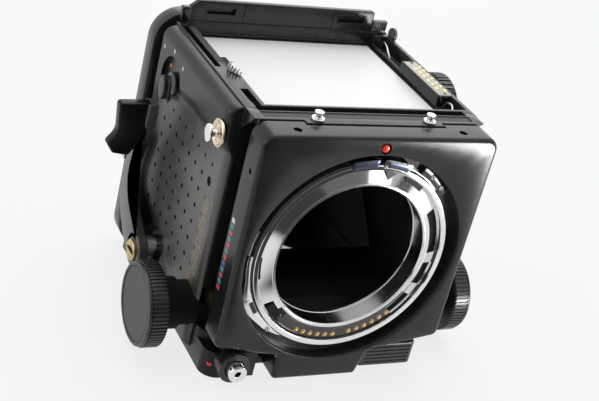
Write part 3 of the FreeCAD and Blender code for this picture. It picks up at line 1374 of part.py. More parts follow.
def ribbed(x, centre, radius, depth, count, length):
    """Disc with ribs round its edge, along X."""
    points = []
    for number in range(count):
        for share, reach in ((0.0, radius - depth), (0.22, radius), (0.62, radius), (0.84, radius - depth)):
            turn = 2 * math.pi * (number + share) / count
            points.append(Vector(x, centre[0] + reach * math.cos(turn), centre[1] + reach * math.sin(turn)))
    return prism(points, Vector(length, 0, 0))


def knob_shape(side):
    """Ribbed focusing knob with a smooth rim, a bore for the shaft and a seat for its disc."""
    centre = (size("front_y") + size("shaft_setback"), size("shaft_z"))
    outer, long = size("knob_outer"), size("knob_length")
    start = outer - long if side > 0 else -outer
    disc = ribbed(start, centre, size("knob_radius"), size("rib_depth"), int(size("rib_count")), long)
    across = Vector(side, 0, 0)

    def barrel(radius, begin, length):
        return Part.makeCylinder(radius, length, Vector(side * begin, *centre), across)

    rim_start = outer - size("rim_length")
    rim = barrel(size("knob_radius") + 1, rim_start, size("rim_length"))
    rim = rim.cut(barrel(size("rim_radius"), rim_start, size("rim_length")))
    bore = barrel(size("shaft_radius"), outer - long, long - size("knob_cap_depth") - size("knob_web"))
    seat = barrel(size("knob_cap_radius"), outer - size("knob_cap_depth"), size("knob_cap_depth"))
    return disc.cut(rim).cut(bore).cut(seat)


@piece
def right_focus_knob():
    return shaped("right_focus_knob", knob_shape(-1))


@piece
def left_focus_knob():
    return shaped("left_focus_knob", knob_shape(1))


@piece
def knob_discs():
    """Plain discs let into the outer faces of the focusing knobs."""
    discs = []
    for side in (-1, 1):
        near, far = sided(side, "knob_outer - knob_cap_depth", "knob_outer - knob_cap_sunk")
        discs.append(rod("knob_disc", (near, behind("shaft_setback"), "shaft_z"), "X",
                         "knob_cap_radius", f"({far}) - ({near})"))
    return group("knob_discs", *discs)


# The cocking lever's arm: middle line behind and above its pivot, and half width
ARM_LINE = ((0.0, 0.0, 6.5), (9.0, 4.2, 7.0), (18.0, 11.5, 6.0), (22.6, 20.5, 4.4), (23.0, 29.0, 3.5),
            (20.5, 37.5, 3.6), (17.0, 46.0, 3.6), (15.0, 56.0, 3.3), (14.5, 61.0, 3.0))
# Outline of the grip: out from the arm's outer face, and height above the lever's pivot
GRIP_FORM = ((-1.6, 44.4), (0.0, 44.4), (4.6, 37.6), (11.4, 38.6), (14.4, 42.7), (10.4, 47.3),
             (11.8, 60.8), (-1.6, 61.2))


def lever_face():
    """Distance of the arm's outer face from the middle plane."""
    return sum(size(alias) for alias in ("body_half", "cover_proud", "lever_gap", "lever_thick"))


def arm_sides():
    """Points down the front and the back of the lever's arm."""
    fronts, backs = [], []
    outer = lever_face()
    pivot = (size("front_y") + size("lever_setback"), size("lever_z"))
    for number, (back, height, half) in enumerate(ARM_LINE):
        before = ARM_LINE[max(number - 1, 0)]
        after = ARM_LINE[min(number + 1, len(ARM_LINE) - 1)]
        along, rise = after[0] - before[0], after[1] - before[1]
        length = math.hypot(along, rise)
        normal = (-rise / length, along / length)
        y, z = pivot[0] + back, pivot[1] + height
        fronts.append(Vector(-outer, y + normal[0] * half, z + normal[1] * half))
        backs.append(Vector(-outer, y - normal[0] * half, z - normal[1] * half))
    return fronts, backs


@piece
def cocking_lever():
    """Curved arm that turns on the right cover's boss."""
    fronts, backs = arm_sides()
    edges = []
    for points in (fronts, backs):
        curve = Part.BSplineCurve()
        curve.interpolate(points)
        edges.append(curve.toShape())
    ends = [Part.makeLine(fronts[-1], backs[-1]), Part.makeLine(backs[0], fronts[0])]
    face = Part.Face(Part.Wire(Part.__sortEdges__(edges + ends)))
    arm = face.extrude(Vector(size("lever_thick") - size("turn_gap"), 0, 0))
    centre = Vector(-lever_face(), size("front_y") + size("lever_setback"), size("lever_z"))
    hub = Part.makeCylinder(size("lever_hub"), size("lever_thick") - size("turn_gap"), centre,
                            Vector(1, 0, 0))
    return shaped("cocking_lever", arm.fuse(hub).removeSplitter())


@piece
def lever_grip():
    """Flared grip that stands out from the end of the cocking lever."""
    outer, thick = lever_face(), size("grip_thick")
    middle = size("front_y") + size("lever_setback") + ARM_LINE[-2][0]
    points = [Vector(-outer - out, middle - thick / 2, size("lever_z") + height)
              for out, height in GRIP_FORM]
    grip = prism(points, Vector(0, thick, 0))
    return shaped("lever_grip", grip.cut(doc.getObject("cocking_lever").Shape))


@piece
def lever_screw():
    """Brass screw that holds the cocking lever on its boss."""
    start = f"-({LEVER_OUTER} + lever_screw_thick)"
    return rod("lever_screw", (start, behind("lever_setback"), "lever_z"), "X",
               "lever_screw_radius", "lever_screw_thick")


@piece
def multi_exposure_lever():
    """Small lever that lets the camera be cocked again without winding the film."""
    floor = f"({DISH_FACE} - multi_depth)"
    outer = f"({floor} + multi_thick)"
    hub = rod("multi_hub", (f"-{outer}", MULTI_Y, "multi_z"), "X", "multi_hub",
              "multi_thick - turn_gap")
    arm = box("multi_arm", (f"-{outer}", MULTI_Y, "multi_z - multi_hub * 0.8"),
              (f"-({floor} + turn_gap)", f"{MULTI_Y} + multi_arm * 0.8", "multi_z - multi_hub * 0.2"))
    grip = rod("multi_grip", (f"-({floor} + multi_depth + multi_grip_high)",
                              f"{MULTI_Y} + multi_grip_back", "multi_z - multi_grip_drop"), "X",
               "multi_grip", "multi_depth + multi_grip_high - turn_gap")
    return fuse("multi_exposure_lever", hub, arm, grip)


# The mirror and its tray, built along the slope
SLOPE = "sqrt(0.5)"


def on_slope(name, half, near, far, low, high):
    """Box along the mirror's slope: from near to far along it, from low to high across it."""
    made = doc.addObject("Part::Box", name)
    made.Placement = Placement(Vector(), Rotation(Vector(1, 0, 0), 45))
    bind(made, Length=f"({half[1]}) - ({half[0]})", Width=f"({far}) - ({near})",
         Height=f"({high}) - ({low})")
    put(made, (half[0], f"{behind('mirror_setback')} + (({near}) - ({low})) * {SLOPE}",
               f"axis_z + (({near}) + ({low})) * {SLOPE}"))
    return made


@piece
def mirror():
    return on_slope("mirror", ("-mirror_half", "mirror_half"), "-mirror_low", "mirror_high",
                    "-mirror_thick", "0")


@piece
def mirror_tray():
    """Tray behind the mirror with two lugs on the hinge pin."""
    under = "-(mirror_thick + holder_thick)"
    tray = on_slope("tray_plate", ("-mirror_half", "mirror_half"), "-mirror_low", "mirror_high",
                    under, "-mirror_thick")
    reach = f"((hinge_setback - mirror_setback + hinge_z - axis_z) * {SLOPE})"
    across = f"((hinge_z - axis_z - hinge_setback + mirror_setback) * {SLOPE})"
    lugs = [on_slope("tray_lug", sided(side, "mirror_half - hinge_lug", "mirror_half"), "mirror_high",
                     f"{reach} + 2 * hinge_pin", under, f"{across} + 2 * hinge_pin") for side in (-1, 1)]
    bore = rod("tray_bore", ("-mirror_half", behind("hinge_setback"), "hinge_z"), "X",
               "hinge_pin + turn_gap", "2 * mirror_half")
    return cut("mirror_tray", fuse("tray_solids", tray, *lugs), bore)


# Controls under the lens panel
@piece
def release_button():
    """Release button with a threaded hole for a cable."""
    return cut("release_button",
               rod("button_solid", ("release_x", "front_y - button_proud", "release_z"), "Y",
                   "button_radius", "button_length"),
               rod("button_hole", ("release_x", "front_y - button_proud", "release_z"), "Y",
                   "button_hole", "button_length * 0.6"))


@piece
def release_collar():
    """Collar that turns round the release button to lock it."""
    start = behind("release_front - slide_gap / 2 - collar_thick")
    ring = tube("collar_ring", ("release_x", start, "release_z"), "Y", "collar_radius",
                "button_radius + collar_gap", "collar_thick")
    tab = box("collar_tab", ("release_x - tab_half", start, "release_z + button_radius + tab_half"),
              ("release_x + tab_half", f"{start} + tab_long", "release_z + collar_radius + tab_high"))
    return fuse("release_collar", ring, tab)


@piece
def battery_cover():
    """Grooved cover in front of the battery block."""
    body = new_body("battery_cover")
    back = behind("battery_front + battery_cover_thick")
    face = sketch_on(body, "XZ_Plane", f"-{back}")
    rectangle(face, ("battery_left", "battery_foot"), ("battery_right", "block_top"))
    slab = feature(body, "Pad", face, "battery_cover_thick")
    rounds = round_off(body, slab, "battery_round", Vector(0, 0, 1),
                       lambda point: point.y < size("front_y") + size("battery_front") + 0.5
                       and point.x > size("battery_right") - 1)
    body.Tip = rounds
    grooves = sketch_on(body, "XZ_Plane", f"-{behind('battery_front')}")
    for number in range(1, 5):
        level = f"battery_foot + (block_top - battery_foot) * {number} / 5"
        rectangle(grooves, ("battery_left + battery_edge_left", f"{level} - battery_groove_half"),
                  ("battery_right - battery_edge_right", f"{level} + battery_groove_half"))
    feature(body, "Pocket", grooves, "battery_groove")
    return body


@piece
def speed_dial():
    """Ribbed shutter speed dial on the camera's left."""
    centre = (size("front_y") + size("dial_setback"), size("dial_z"))
    start, end = size("dial_inner"), size("dial_outer")
    disc = ribbed(start, centre, size("dial_radius"), size("rib_depth"), int(size("dial_ribs")),
                  end - start)
    seat = Part.makeCylinder(size("dial_cap"), size("dial_cap_depth"),
                             Vector(end - size("dial_cap_depth"), *centre), Vector(1, 0, 0))
    return shaped("speed_dial", disc.cut(seat))


@piece
def dial_disc():
    """Disc let into the face of the speed dial."""
    return rod("dial_disc", ("dial_outer - dial_cap_depth", behind("dial_setback"), "dial_z"), "X",
               "dial_cap", "dial_cap_thick")


@piece
def focus_lock():
    """Lever on the camera's left that clamps the focusing shaft."""
    face = "(body_half + turn_gap)"
    hub = rod("lock_hub", (face, behind("lock_lever_setback"), "lock_lever_z"), "X", "lock_lever_hub",
              "lock_lever_thick")
    arm = box("lock_arm", (face, behind("lock_lever_setback"), "lock_lever_z - lock_lever_hub * 0.6"),
              (f"{face} + lock_lever_thick", behind("lock_lever_setback + lock_lever_arm"),
               "lock_lever_z + lock_lever_hub * 0.6"))
    return fuse("focus_lock", hub, arm)


# The revolving adapter at the back
@piece
def revolving_adapter():
    """Square adapter that the film back hangs on; it turns on the ring."""
    body = new_body("revolving_adapter")
    face = sketch_on(body, "XZ_Plane", f"-({ADAPTER_FRONT} + adapter_thick)")
    rectangle(face, ("-adapter_half", "axis_z - adapter_half"), ("adapter_half", "axis_z + adapter_half"))
    slab = feature(body, "Pad", face, "adapter_thick")
    rounds = round_off(body, slab, "adapter_round", Vector(0, 1, 0))
    body.Tip = rounds
    window = sketch_on(body, "XZ_Plane", f"-{ADAPTER_FRONT}")
    rectangle(window, ("-film_half_wide", "axis_z - film_half_high"),
              ("film_half_wide", "axis_z + film_half_high"))
    feature(body, "Pocket", window, "adapter_thick")
    track = sketch_on(body, "XZ_Plane", f"-{ADAPTER_FRONT}")
    circle(track, ("0", "axis_z"), "ring_outer + slide_gap")
    circle(track, ("0", "axis_z"), "ring_inner - slide_gap")
    feature(body, "Pocket", track, "track_depth")
    return body


def back_lock(name, side):
    """Sliding lock on one side of the revolving adapter."""
    near, far = sided(side, "adapter_half + turn_gap", "adapter_half + lock_high")
    middle = f"({ADAPTER_FRONT} + adapter_thick / 2)"
    start = "axis_z - lock_length / 2 - lock_travel / 2"
    bar = box(f"{name}_bar", (near, f"{middle} - lock_wide / 2", start),
              (far, f"{middle} + lock_wide / 2", f"{start} + lock_length"))
    pitch = "(lock_length / (lock_ribs + 2))"
    front = f"({middle} - lock_wide / 2)"
    ribs = [box(f"{name}_rib", (near, f"{front} - lock_rib_high", f"{start} + {number} * {pitch}"),
                (far, front, f"{start} + ({number} + 0.5) * {pitch}"))
            for number in range(1, int(size("lock_ribs")) + 1)]
    return fuse(name, bar, *ribs)


@piece
def right_back_lock():
    return back_lock("right_back_lock", -1)


@piece
def left_back_lock():
    return back_lock("left_back_lock", 1)


# Build every piece, check it and write it out
made = {}
for node, make in PIECES.items():
    made[node] = make()
    doc.recompute()
for node, thing in made.items():
    thing.Label = node
doc.recompute()
for thing in doc.Objects:
    if "Invalid" in thing.State or "Error" in thing.State:
        raise RuntimeError(f"{thing.Name} failed: {thing.State}")
os.makedirs("parts", exist_ok=True)
for node, thing in made.items():
    if thing.Shape.isNull() or not thing.Shape.isValid():
        raise RuntimeError(f"{node} has no valid shape")
    thing.Shape.exportStep(f"parts/{node}.step")
    bounds = thing.Shape.BoundBox
    print(f"{node}: {len(thing.Shape.Solids)} solids, {thing.Shape.Volume / 1000:.2f} cm3, "
          f"x {bounds.XMin:.1f} to {bounds.XMax:.1f}, y {bounds.YMin:.1f} to {bounds.YMax:.1f}, "
          f"z {bounds.ZMin:.1f} to {bounds.ZMax:.1f}")
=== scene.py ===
import math

import bmesh
import bpy
from mathutils import Matrix, Vector


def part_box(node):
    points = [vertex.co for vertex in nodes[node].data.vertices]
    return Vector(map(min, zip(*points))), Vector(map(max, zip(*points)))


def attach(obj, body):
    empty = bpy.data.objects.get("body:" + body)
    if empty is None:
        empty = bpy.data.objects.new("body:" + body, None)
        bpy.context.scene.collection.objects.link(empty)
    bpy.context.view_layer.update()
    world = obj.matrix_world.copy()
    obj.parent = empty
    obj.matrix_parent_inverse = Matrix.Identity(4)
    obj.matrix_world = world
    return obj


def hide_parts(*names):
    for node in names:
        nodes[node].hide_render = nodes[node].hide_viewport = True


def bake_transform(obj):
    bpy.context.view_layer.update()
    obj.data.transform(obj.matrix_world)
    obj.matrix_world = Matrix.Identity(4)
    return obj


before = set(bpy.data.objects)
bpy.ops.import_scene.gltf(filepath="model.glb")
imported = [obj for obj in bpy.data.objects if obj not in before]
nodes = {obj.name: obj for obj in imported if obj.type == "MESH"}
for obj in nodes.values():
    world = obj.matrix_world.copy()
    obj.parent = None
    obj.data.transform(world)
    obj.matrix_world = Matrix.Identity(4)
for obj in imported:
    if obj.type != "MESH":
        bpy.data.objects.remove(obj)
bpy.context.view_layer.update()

MM = 0.001

# Places in the model's frame, in millimetres
LENS = (0.0, 56.2)
PANEL_FRONT = -50.0
PANEL_BACK = -38.0
RECESS_FLOOR = -44.0
THROAT_OUTER = 32.8
SEAT_INNER, SEAT_OUTER = 38.6, 41.6
# A setback is counted from the lens panel's front, so it is y plus this
SETBACK = 50.0
DISH_FACE = -52.0
MULTI_FLOOR = -53.0
SHAFT = (-20.3, 19.65)
LEVER_PIVOT = (18.0, 20.0)
DIAL = (11.0, 92.5)
STRAP = (-24.0, 97.0)


class Wire:
    """A socket of a node tree; sums on it add Math nodes, and node() adds any other."""

    def __init__(self, tree, socket=None):
        self.tree = tree
        self.socket = socket

    def node(self, kind, settings=(), values=(), output=0):
        """Add a node: its settings first, then the values or links of its sockets."""
        made = self.tree.nodes.new(kind)
        for name, value in dict(settings).items():
            if name == "stops":
                for stop, (place, colour) in enumerate(value):
                    if stop > 1:
                        made.color_ramp.elements.new(place)
                    made.color_ramp.elements[stop].position = place
                    made.color_ramp.elements[stop].color = colour
            else:
                setattr(made, name, value)
        for name, value in dict(values).items():
            if isinstance(value, Wire):
                self.tree.links.new(value.socket, made.inputs[name])
            else:
                made.inputs[name].default_value = value
        return Wire(self.tree, made.outputs[output] if made.outputs else None)

    def sum(self, operation, first, second):
        return self.node("ShaderNodeMath", {"operation": operation}, {0: first, 1: second})

    def __add__(self, other):
        return self.sum("ADD", self, other)

    def __radd__(self, other):
        return self.sum("ADD", other, self)

    def __sub__(self, other):
        return self.sum("SUBTRACT", self, other)

    def __rsub__(self, other):
        return self.sum("SUBTRACT", other, self)

    def __mul__(self, other):
        return self.sum("MULTIPLY", self, other)

    def noise(self, scale, detail):
        """Value of a noise that is fixed to the object."""
        place = self.node("ShaderNodeTexCoord", output=3)
        return self.node("ShaderNodeTexNoise", {"noise_dimensions": "3D"},
                         {"Vector": place, "Scale": scale, "Detail": detail, "Roughness": 0.55})

    def ramp(self, low, high):
        """The value spread from 0 at low to 1 at high."""
        return self.node("ShaderNodeMapRange", {"interpolation_type": "SMOOTHSTEP"},
                         {"Value": self, "From Min": low, "From Max": high})

    def light_path(self, mirrored):
        """One where the camera looks straight or through glass; the given share where metal mirrors."""
        return (self.node("ShaderNodeLightPath", output=0) + self.node("ShaderNodeLightPath", output=6)
                + self.node("ShaderNodeLightPath", output=3) * mirrored)

    def mix(self, first, second):
        """Blend of two colours by this value."""
        return self.node("ShaderNodeMix", {"data_type": "RGBA"},
                         {"Factor": self, 6: first, 7: second}, output=2)


def colour(red, green, blue):
    return (red, green, blue, 1.0)


def principled(material):
    return next(node for node in material.node_tree.nodes if node.type == "BSDF_PRINCIPLED")


def surface(name, base, rough, metal=0.0, coat=0.0, sheen=0.0, dust_and_sheen=None, dust_and_sheen_share=0.0, grain=0.0,
            grain_scale=4000.0, spread=0.08, blotch=60.0, round_edges=0.0, scratch=0.0, specular=0.5):
    """A finish: its colour, with dust (on the dish and the lever arm also painted sheen), a grain in relief,
    uneven gloss and fine scratches.
    """
    made = bpy.data.materials.new(name)
    made.use_nodes = True
    tree = made.node_tree
    shader = principled(made)
    wire = Wire(tree)
    for socket, value in (("Metallic", metal), ("Coat Weight", coat), ("Coat Roughness", 0.08),
                          ("Sheen Weight", sheen), ("Specular IOR Level", specular)):
        shader.inputs[socket].default_value = value
    broad = wire.noise(blotch, 4.0)
    fine = wire.noise(grain_scale, 2.0)
    cloud = broad.ramp(0.35, 0.7)
    tint = dust_and_sheen or tuple(min(1.0, channel * 1.5 + 0.01) for channel in base)
    blend = cloud * (dust_and_sheen_share if dust_and_sheen else 0.35) + fine.ramp(0.45, 0.75) * (dust_and_sheen_share * 0.6)
    tree.links.new(blend.mix(colour(*base), colour(*tint)).socket, shader.inputs["Base Color"])
    gloss = rough + (broad - 0.5) * spread + (fine - 0.5) * (spread * 0.5)
    if scratch:
        place = wire.node("ShaderNodeTexCoord", output=3)
        lines = wire.node("ShaderNodeMapping", values={"Vector": place, "Scale": (6000.0, 60.0, 400.0),
                                                       "Rotation": (0.3, 0.5, 0.9)})
        marks = wire.node("ShaderNodeTexNoise", values={"Vector": lines, "Scale": 1.0, "Detail": 3.0})
        gloss = gloss + marks.ramp(0.6, 0.75) * scratch
    tree.links.new(gloss.socket, shader.inputs["Roughness"])
    normal = None
    if round_edges:
        normal = wire.node("ShaderNodeBevel", {"samples": 4}, {"Radius": round_edges * MM})
    if grain:
        values = {"Height": fine, "Strength": grain, "Distance": 0.00004}
        if normal:
            values["Normal"] = normal
        normal = wire.node("ShaderNodeBump", values=values)
    if normal:
        tree.links.new(normal.socket, shader.inputs["Normal"])
    return made


PANEL_BLACK = surface("panel_black", (0.010, 0.010, 0.0105), 0.225, grain=0.2, spread=0.08,
                      dust_and_sheen=(0.026, 0.026, 0.027), dust_and_sheen_share=0.30, round_edges=0.35, specular=0.36)
SHELL_BLACK = surface("shell_black", (0.012, 0.012, 0.012), 0.33, grain=0.35, spread=0.10,
                      dust_and_sheen=(0.035, 0.034, 0.033), dust_and_sheen_share=0.30, round_edges=0.3, specular=0.40)
# The dish's lighter colour is partly dust and partly painted sheen, a broad reflection painted into its base
# and dust colours
DISH_DUST_AND_SHEEN = surface("dish_dust_and_painted_sheen", (0.050, 0.050, 0.049), 0.36, grain=0.35, spread=0.12,
                    dust_and_sheen=(0.160, 0.157, 0.151), dust_and_sheen_share=0.45, blotch=35.0, specular=0.55)
FRAME_BLACK = surface("frame_black", (0.010, 0.010, 0.0105), 0.26, grain=0.2, spread=0.14,
                      dust_and_sheen=(0.06, 0.06, 0.06), dust_and_sheen_share=0.20, round_edges=0.25, scratch=0.1)
INNER_BLACK = surface("inner_black", (0.005, 0.005, 0.005), 0.75, grain=0.6, specular=0.2)
BASE_BLACK = surface("base_black", (0.010, 0.010, 0.0105), 0.32, grain=0.2, spread=0.12,
                     dust_and_sheen=(0.04, 0.04, 0.04), dust_and_sheen_share=0.25, round_edges=0.25, specular=0.2)
GLOSS_BLACK = surface("gloss_black", (0.006, 0.006, 0.0065), 0.16, coat=0.25, spread=0.06, round_edges=0.3)
# The arm's light grey is partly wear and partly painted sheen, a reflection painted into its base and dust
# colours
ARM_WEAR_AND_SHEEN = surface("arm_wear_and_painted_sheen", (0.060, 0.060, 0.058), 0.27, grain=0.2, spread=0.12,
                   dust_and_sheen=(0.12, 0.12, 0.115), dust_and_sheen_share=0.3, round_edges=0.25, scratch=0.1)
GRIP_BLACK = surface("grip_black", (0.006, 0.006, 0.0065), 0.2, spread=0.06, round_edges=0.3, specular=0.15)
KNOB_BLACK = surface("knob_black", (0.012, 0.012, 0.013), 0.33, grain=0.15, spread=0.12,
                     dust_and_sheen=(0.08, 0.08, 0.08), dust_and_sheen_share=0.15)
CHARCOAL = surface("charcoal_disc", (0.043, 0.043, 0.041), 0.52, grain=0.3, dust_and_sheen=(0.09, 0.09, 0.085),
                   dust_and_sheen_share=0.25)
GREY_PLASTIC = surface("grey_plastic", (0.16, 0.16, 0.155), 0.40, grain=0.2, spread=0.1, round_edges=0.2)
CHROME = surface("polished_chrome", (0.80, 0.80, 0.81), 0.07, metal=1.0, spread=0.05, scratch=0.10,
                 dust_and_sheen=(0.72, 0.73, 0.75), dust_and_sheen_share=0.3, round_edges=0.12)
BLUED = surface("blued_chrome", (0.075, 0.085, 0.12), 0.22, metal=1.0, spread=0.1, round_edges=0.1)
STEEL = surface("plain_steel", (0.50, 0.50, 0.50), 0.28, metal=1.0, spread=0.12, scratch=0.15)
GOLD = surface("gold_plate", (0.90, 0.62, 0.24), 0.22, metal=1.0, spread=0.06)
BRASS = surface("worn_brass", (0.62, 0.46, 0.24), 0.34, metal=1.0, spread=0.2, dust_and_sheen=(0.30, 0.20, 0.10),
                dust_and_sheen_share=0.5)
LUG_BRASS = surface("lug_brass", (0.80, 0.68, 0.52), 0.24, metal=1.0, spread=0.12, dust_and_sheen=(0.45, 0.32, 0.20),
                    dust_and_sheen_share=0.4, round_edges=0.2)
SATIN = surface("satin_chrome", (0.70, 0.70, 0.70), 0.17, metal=1.0, spread=0.10, scratch=0.15,
                round_edges=0.1)
RED = surface("red_enamel", (0.88, 0.012, 0.010), 0.22, coat=0.6, spread=0.05)
ORANGE = surface("orange_enamel", (0.65, 0.20, 0.04), 0.3, coat=0.3)
SCREEN_WHITE = surface("screen_white", (0.86, 0.86, 0.85), 0.35, spread=0.05, dust_and_sheen=(0.82, 0.82, 0.80),
                       dust_and_sheen_share=0.2, blotch=25.0, specular=0.3)
CLOTH = surface("bellows_cloth", (0.014, 0.014, 0.014), 0.6, grain=0.7, grain_scale=2500.0, sheen=0.1)
SILVERED = surface("mirror_silver", (0.86, 0.87, 0.88), 0.03, metal=1.0, spread=0.01)
BEIGE = surface("contact_plate", (0.42, 0.40, 0.34), 0.42, grain=0.15, round_edges=0.15)
CARRIER = surface("contact_carrier_grey", (0.022, 0.020, 0.018), 0.45, grain=0.3, dust_and_sheen=(0.055, 0.046, 0.036),
                  dust_and_sheen_share=0.4)


def mark_paint(name, red, green, blue):
    return surface(name, (red, green, blue), 0.4, spread=0.05, dust_and_sheen=(red * 0.4, green * 0.4, blue * 0.4),
                   dust_and_sheen_share=0.5, blotch=700.0)


WHITE_MARK = mark_paint("white_mark", 0.75, 0.75, 0.72)
CREAM_MARK = mark_paint("cream_mark", 0.50, 0.42, 0.22)
AMBER_MARK = mark_paint("amber_mark", 0.62, 0.36, 0.06)
PINK_MARK = mark_paint("pink_mark", 0.62, 0.08, 0.13)
TEAL_MARK = mark_paint("teal_mark", 0.05, 0.32, 0.34)
BLUE_MARK = mark_paint("blue_mark", 0.05, 0.12, 0.42)


# Mesh building: PLANES says where a point across, up and along an axis lies
SHARP_TURN = 32.0
PLANES = {"X": lambda across, up, along: (along, across, up),
          "Y": lambda across, up, along: (across, along, up),
          "Z": lambda across, up, along: (across, up, along)}


def at(x, y, z):
    return Vector((x, y, z)) * MM


def placed(name, data):
    """A new object in the scene."""
    made = bpy.data.objects.new(name, data)
    bpy.context.scene.collection.objects.link(made)
    return made


def shade(mesh, sharp):
    """Smooth shading, broken where two faces turn by more than the angle."""
    for face in mesh.faces:
        face.smooth = True
    for edge in mesh.edges:
        edge.smooth = len(edge.link_faces) == 2 and edge.calc_face_angle(0.0) < math.radians(sharp)


def piece(name, mesh, finish, body, replaced=(), sharp=SHARP_TURN):
    """Turn a mesh into a piece that rides on a body and may stand for CAD nodes."""
    bmesh.ops.remove_doubles(mesh, verts=mesh.verts, dist=1e-7)
    bmesh.ops.recalc_face_normals(mesh, faces=mesh.faces)
    shade(mesh, sharp)
    data = bpy.data.meshes.new(name)
    mesh.to_mesh(data)
    mesh.free()
    for one in finish if isinstance(finish, list) else [finish]:
        data.materials.append(one)
    made = placed(name, data)
    if body:
        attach(made, body)
    if replaced:
        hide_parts(*replaced)
    return made


def on_axis(axis, centre, radius, along, angle):
    """Point at a radius and angle round an axis; angles run from the first of the two other axes."""
    first = centre[0] + radius * math.cos(angle)
    second = centre[1] + radius * math.sin(angle)
    return at(*PLANES[axis](first, second, along))


def turned(mesh, axis, centre, profile, steps=96, start=0.0, sweep=360.0, closed=True, slot=0):
    """Sweep a profile of (radius, along) points round an axis."""
    full = sweep >= 360.0
    rows = []
    for step in range(steps if full else steps + 1):
        angle = math.radians(start + sweep * step / steps)
        rows.append([mesh.verts.new(on_axis(axis, centre, radius, along, angle))
                     for radius, along in profile])
    count = len(profile)
    pairs = range(count if closed else count - 1)
    for step in range(steps):
        here, there = rows[step], rows[(step + 1) % len(rows)]
        for point in pairs:
            after = (point + 1) % count
            corners = [here[point], here[after], there[after], there[point]]
            keep = []
            for corner in corners:
                if all((corner.co - other.co).length > 1e-9 for other in keep):
                    keep.append(corner)
            if len(keep) > 2:
                mesh.faces.new(keep).material_index = slot
    if not full and closed:
        mesh.faces.new(rows[0]).material_index = slot
        mesh.faces.new(rows[-1][::-1]).material_index = slot


def skin(mesh, rings, caps=True, slot=0):
    """Skin through closed rings of points in millimetres."""
    rows = [[mesh.verts.new(at(*point)) for point in ring] for ring in rings]
    for here, there in zip(rows, rows[1:]):
        for point in range(len(here)):
            after = (point + 1) % len(here)
            mesh.faces.new((here[point], here[after], there[after], there[point])).material_index = slot
    if caps:
        mesh.faces.new(rows[0][::-1]).material_index = slot
        mesh.faces.new(rows[-1]).material_index = slot


def eased(corners, steps=8):
    """Outline with each corner, given as (across, up, radius), rounded off."""
    points = []
    count = len(corners)
    for number, (across, up, radius) in enumerate(corners):
        here = Vector((across, up))
        before = Vector(corners[number - 1][:2]) - here
        after = Vector(corners[(number + 1) % count][:2]) - here
        if radius <= 0:
            points.append(tuple(here))
            continue
        half = before.angle(after) / 2
        reach = radius / math.tan(half)
        start = here + before.normalized() * reach
        end = here + after.normalized() * reach
        middle = here + (before.normalized() + after.normalized()).normalized() * (radius / math.sin(half))
        first, last = start - middle, end - middle
        turn = first.angle_signed(last)
        for step in range(steps + 1):
            share = -turn * step / steps
            arm = Vector((first.x * math.cos(share) - first.y * math.sin(share),
                          first.x * math.sin(share) + first.y * math.cos(share)))
            points.append(tuple(middle + arm))
    return points


def plate(left, low, right, high, radius):
    """Rectangle with rounded corners."""
    return eased([(left, low, radius), (right, low, radius), (right, high, radius), (left, high, radius)], 3)


def oval(centre, half_across, half_up, count, lean=(1.0, 0.0)):
    """Oval outline; lean is the cosine and sine of its tilt."""
    points = []
    for number in range(count):
        turn = 2 * math.pi * number / count
        a, u = half_across * math.cos(turn), half_up * math.sin(turn)
        points.append((centre[0] + a * lean[0] + u * lean[1], centre[1] + u * lean[0] - a * lean[1]))
    return points


def anticlockwise(points):
    """The outline in the direction that slab and shrunk need."""
    area = sum(a[0] * b[1] - b[0] * a[1] for a, b in zip(points, points[1:] + points[:1]))
    return points if area > 0 else points[::-1]


def fluted(centre, radius, along, count, sub, groove, start, end=0.0):
    """Ring round an X axis with count ribs of sub points; the groove is where the share of a rib is
    at least start or under end."""
    points = []
    for number in range(count * sub):
        share = number % sub / sub
        reach = radius - groove if share >= start or share < end else radius
        turn = 2 * math.pi * number / (count * sub)
        points.append((along, centre[0] + reach * math.cos(turn), centre[1] + reach * math.sin(turn)))
    return points


def shrunk(points, amount):
    """Outline moved inwards; the outline runs anticlockwise."""
    count = len(points)
    moved = []
    for number in range(count):
        here = Vector(points[number])
        back = here - Vector(points[number - 1])
        ahead = Vector(points[(number + 1) % count]) - here
        if back.length < 1e-9:
            back = ahead
        if ahead.length < 1e-9:
            ahead = back
        first = Vector((-back.y, back.x)).normalized()
        second = Vector((-ahead.y, ahead.x)).normalized()
        moved.append(tuple(here + (first + second) * (amount / max(0.3, 1 + first.dot(second)))))
    return moved


def slab(mesh, axis, points, low, high, edge_low=0.0, edge_high=0.0, steps=4, slot=0):
    """Plate on an outline between two heights along an axis, with rounded edges at its two faces."""
    place = PLANES[axis]
    rings = []
    for step in range(steps + 1):
        turn = math.pi / 2 * step / steps
        if edge_low or step == steps:
            inner = shrunk(points, edge_low * (1 - math.sin(turn)))
            rings.append([place(a, u, low + edge_low * (1 - math.cos(turn))) for a, u in inner])
    for step in range(steps + 1):
        turn = math.pi / 2 * step / steps
        if edge_high or step == 0:
            inner = shrunk(points, edge_high * (1 - math.cos(turn)))
            rings.append([place(a, u, high - edge_high * (1 - math.sin(turn))) for a, u in inner])
    skin(mesh, rings, slot=slot)


def block(mesh, low, high, edge=0.0, slot=0):
    """Box between two corners with softened edges."""
    slab(mesh, "Z", plate(low[0], low[1], high[0], high[1], edge), low[2], high[2], edge, edge, 3, slot)


def drum(mesh, axis, centre, radius, low, high, edge=0.0, steps=48, slot=0):
    """Solid cylinder with softened rims."""
    part = edge * 0.3
    profile = [(0.0, low), (radius - edge, low), (radius - part, low + part), (radius, low + edge),
               (radius, high - edge), (radius - part, high - part), (radius - edge, high), (0.0, high)]
    if not edge:
        profile = [(0.0, low), (radius, low), (radius, high), (0.0, high)]
    turned(mesh, axis, centre, profile, steps, closed=False, slot=slot)


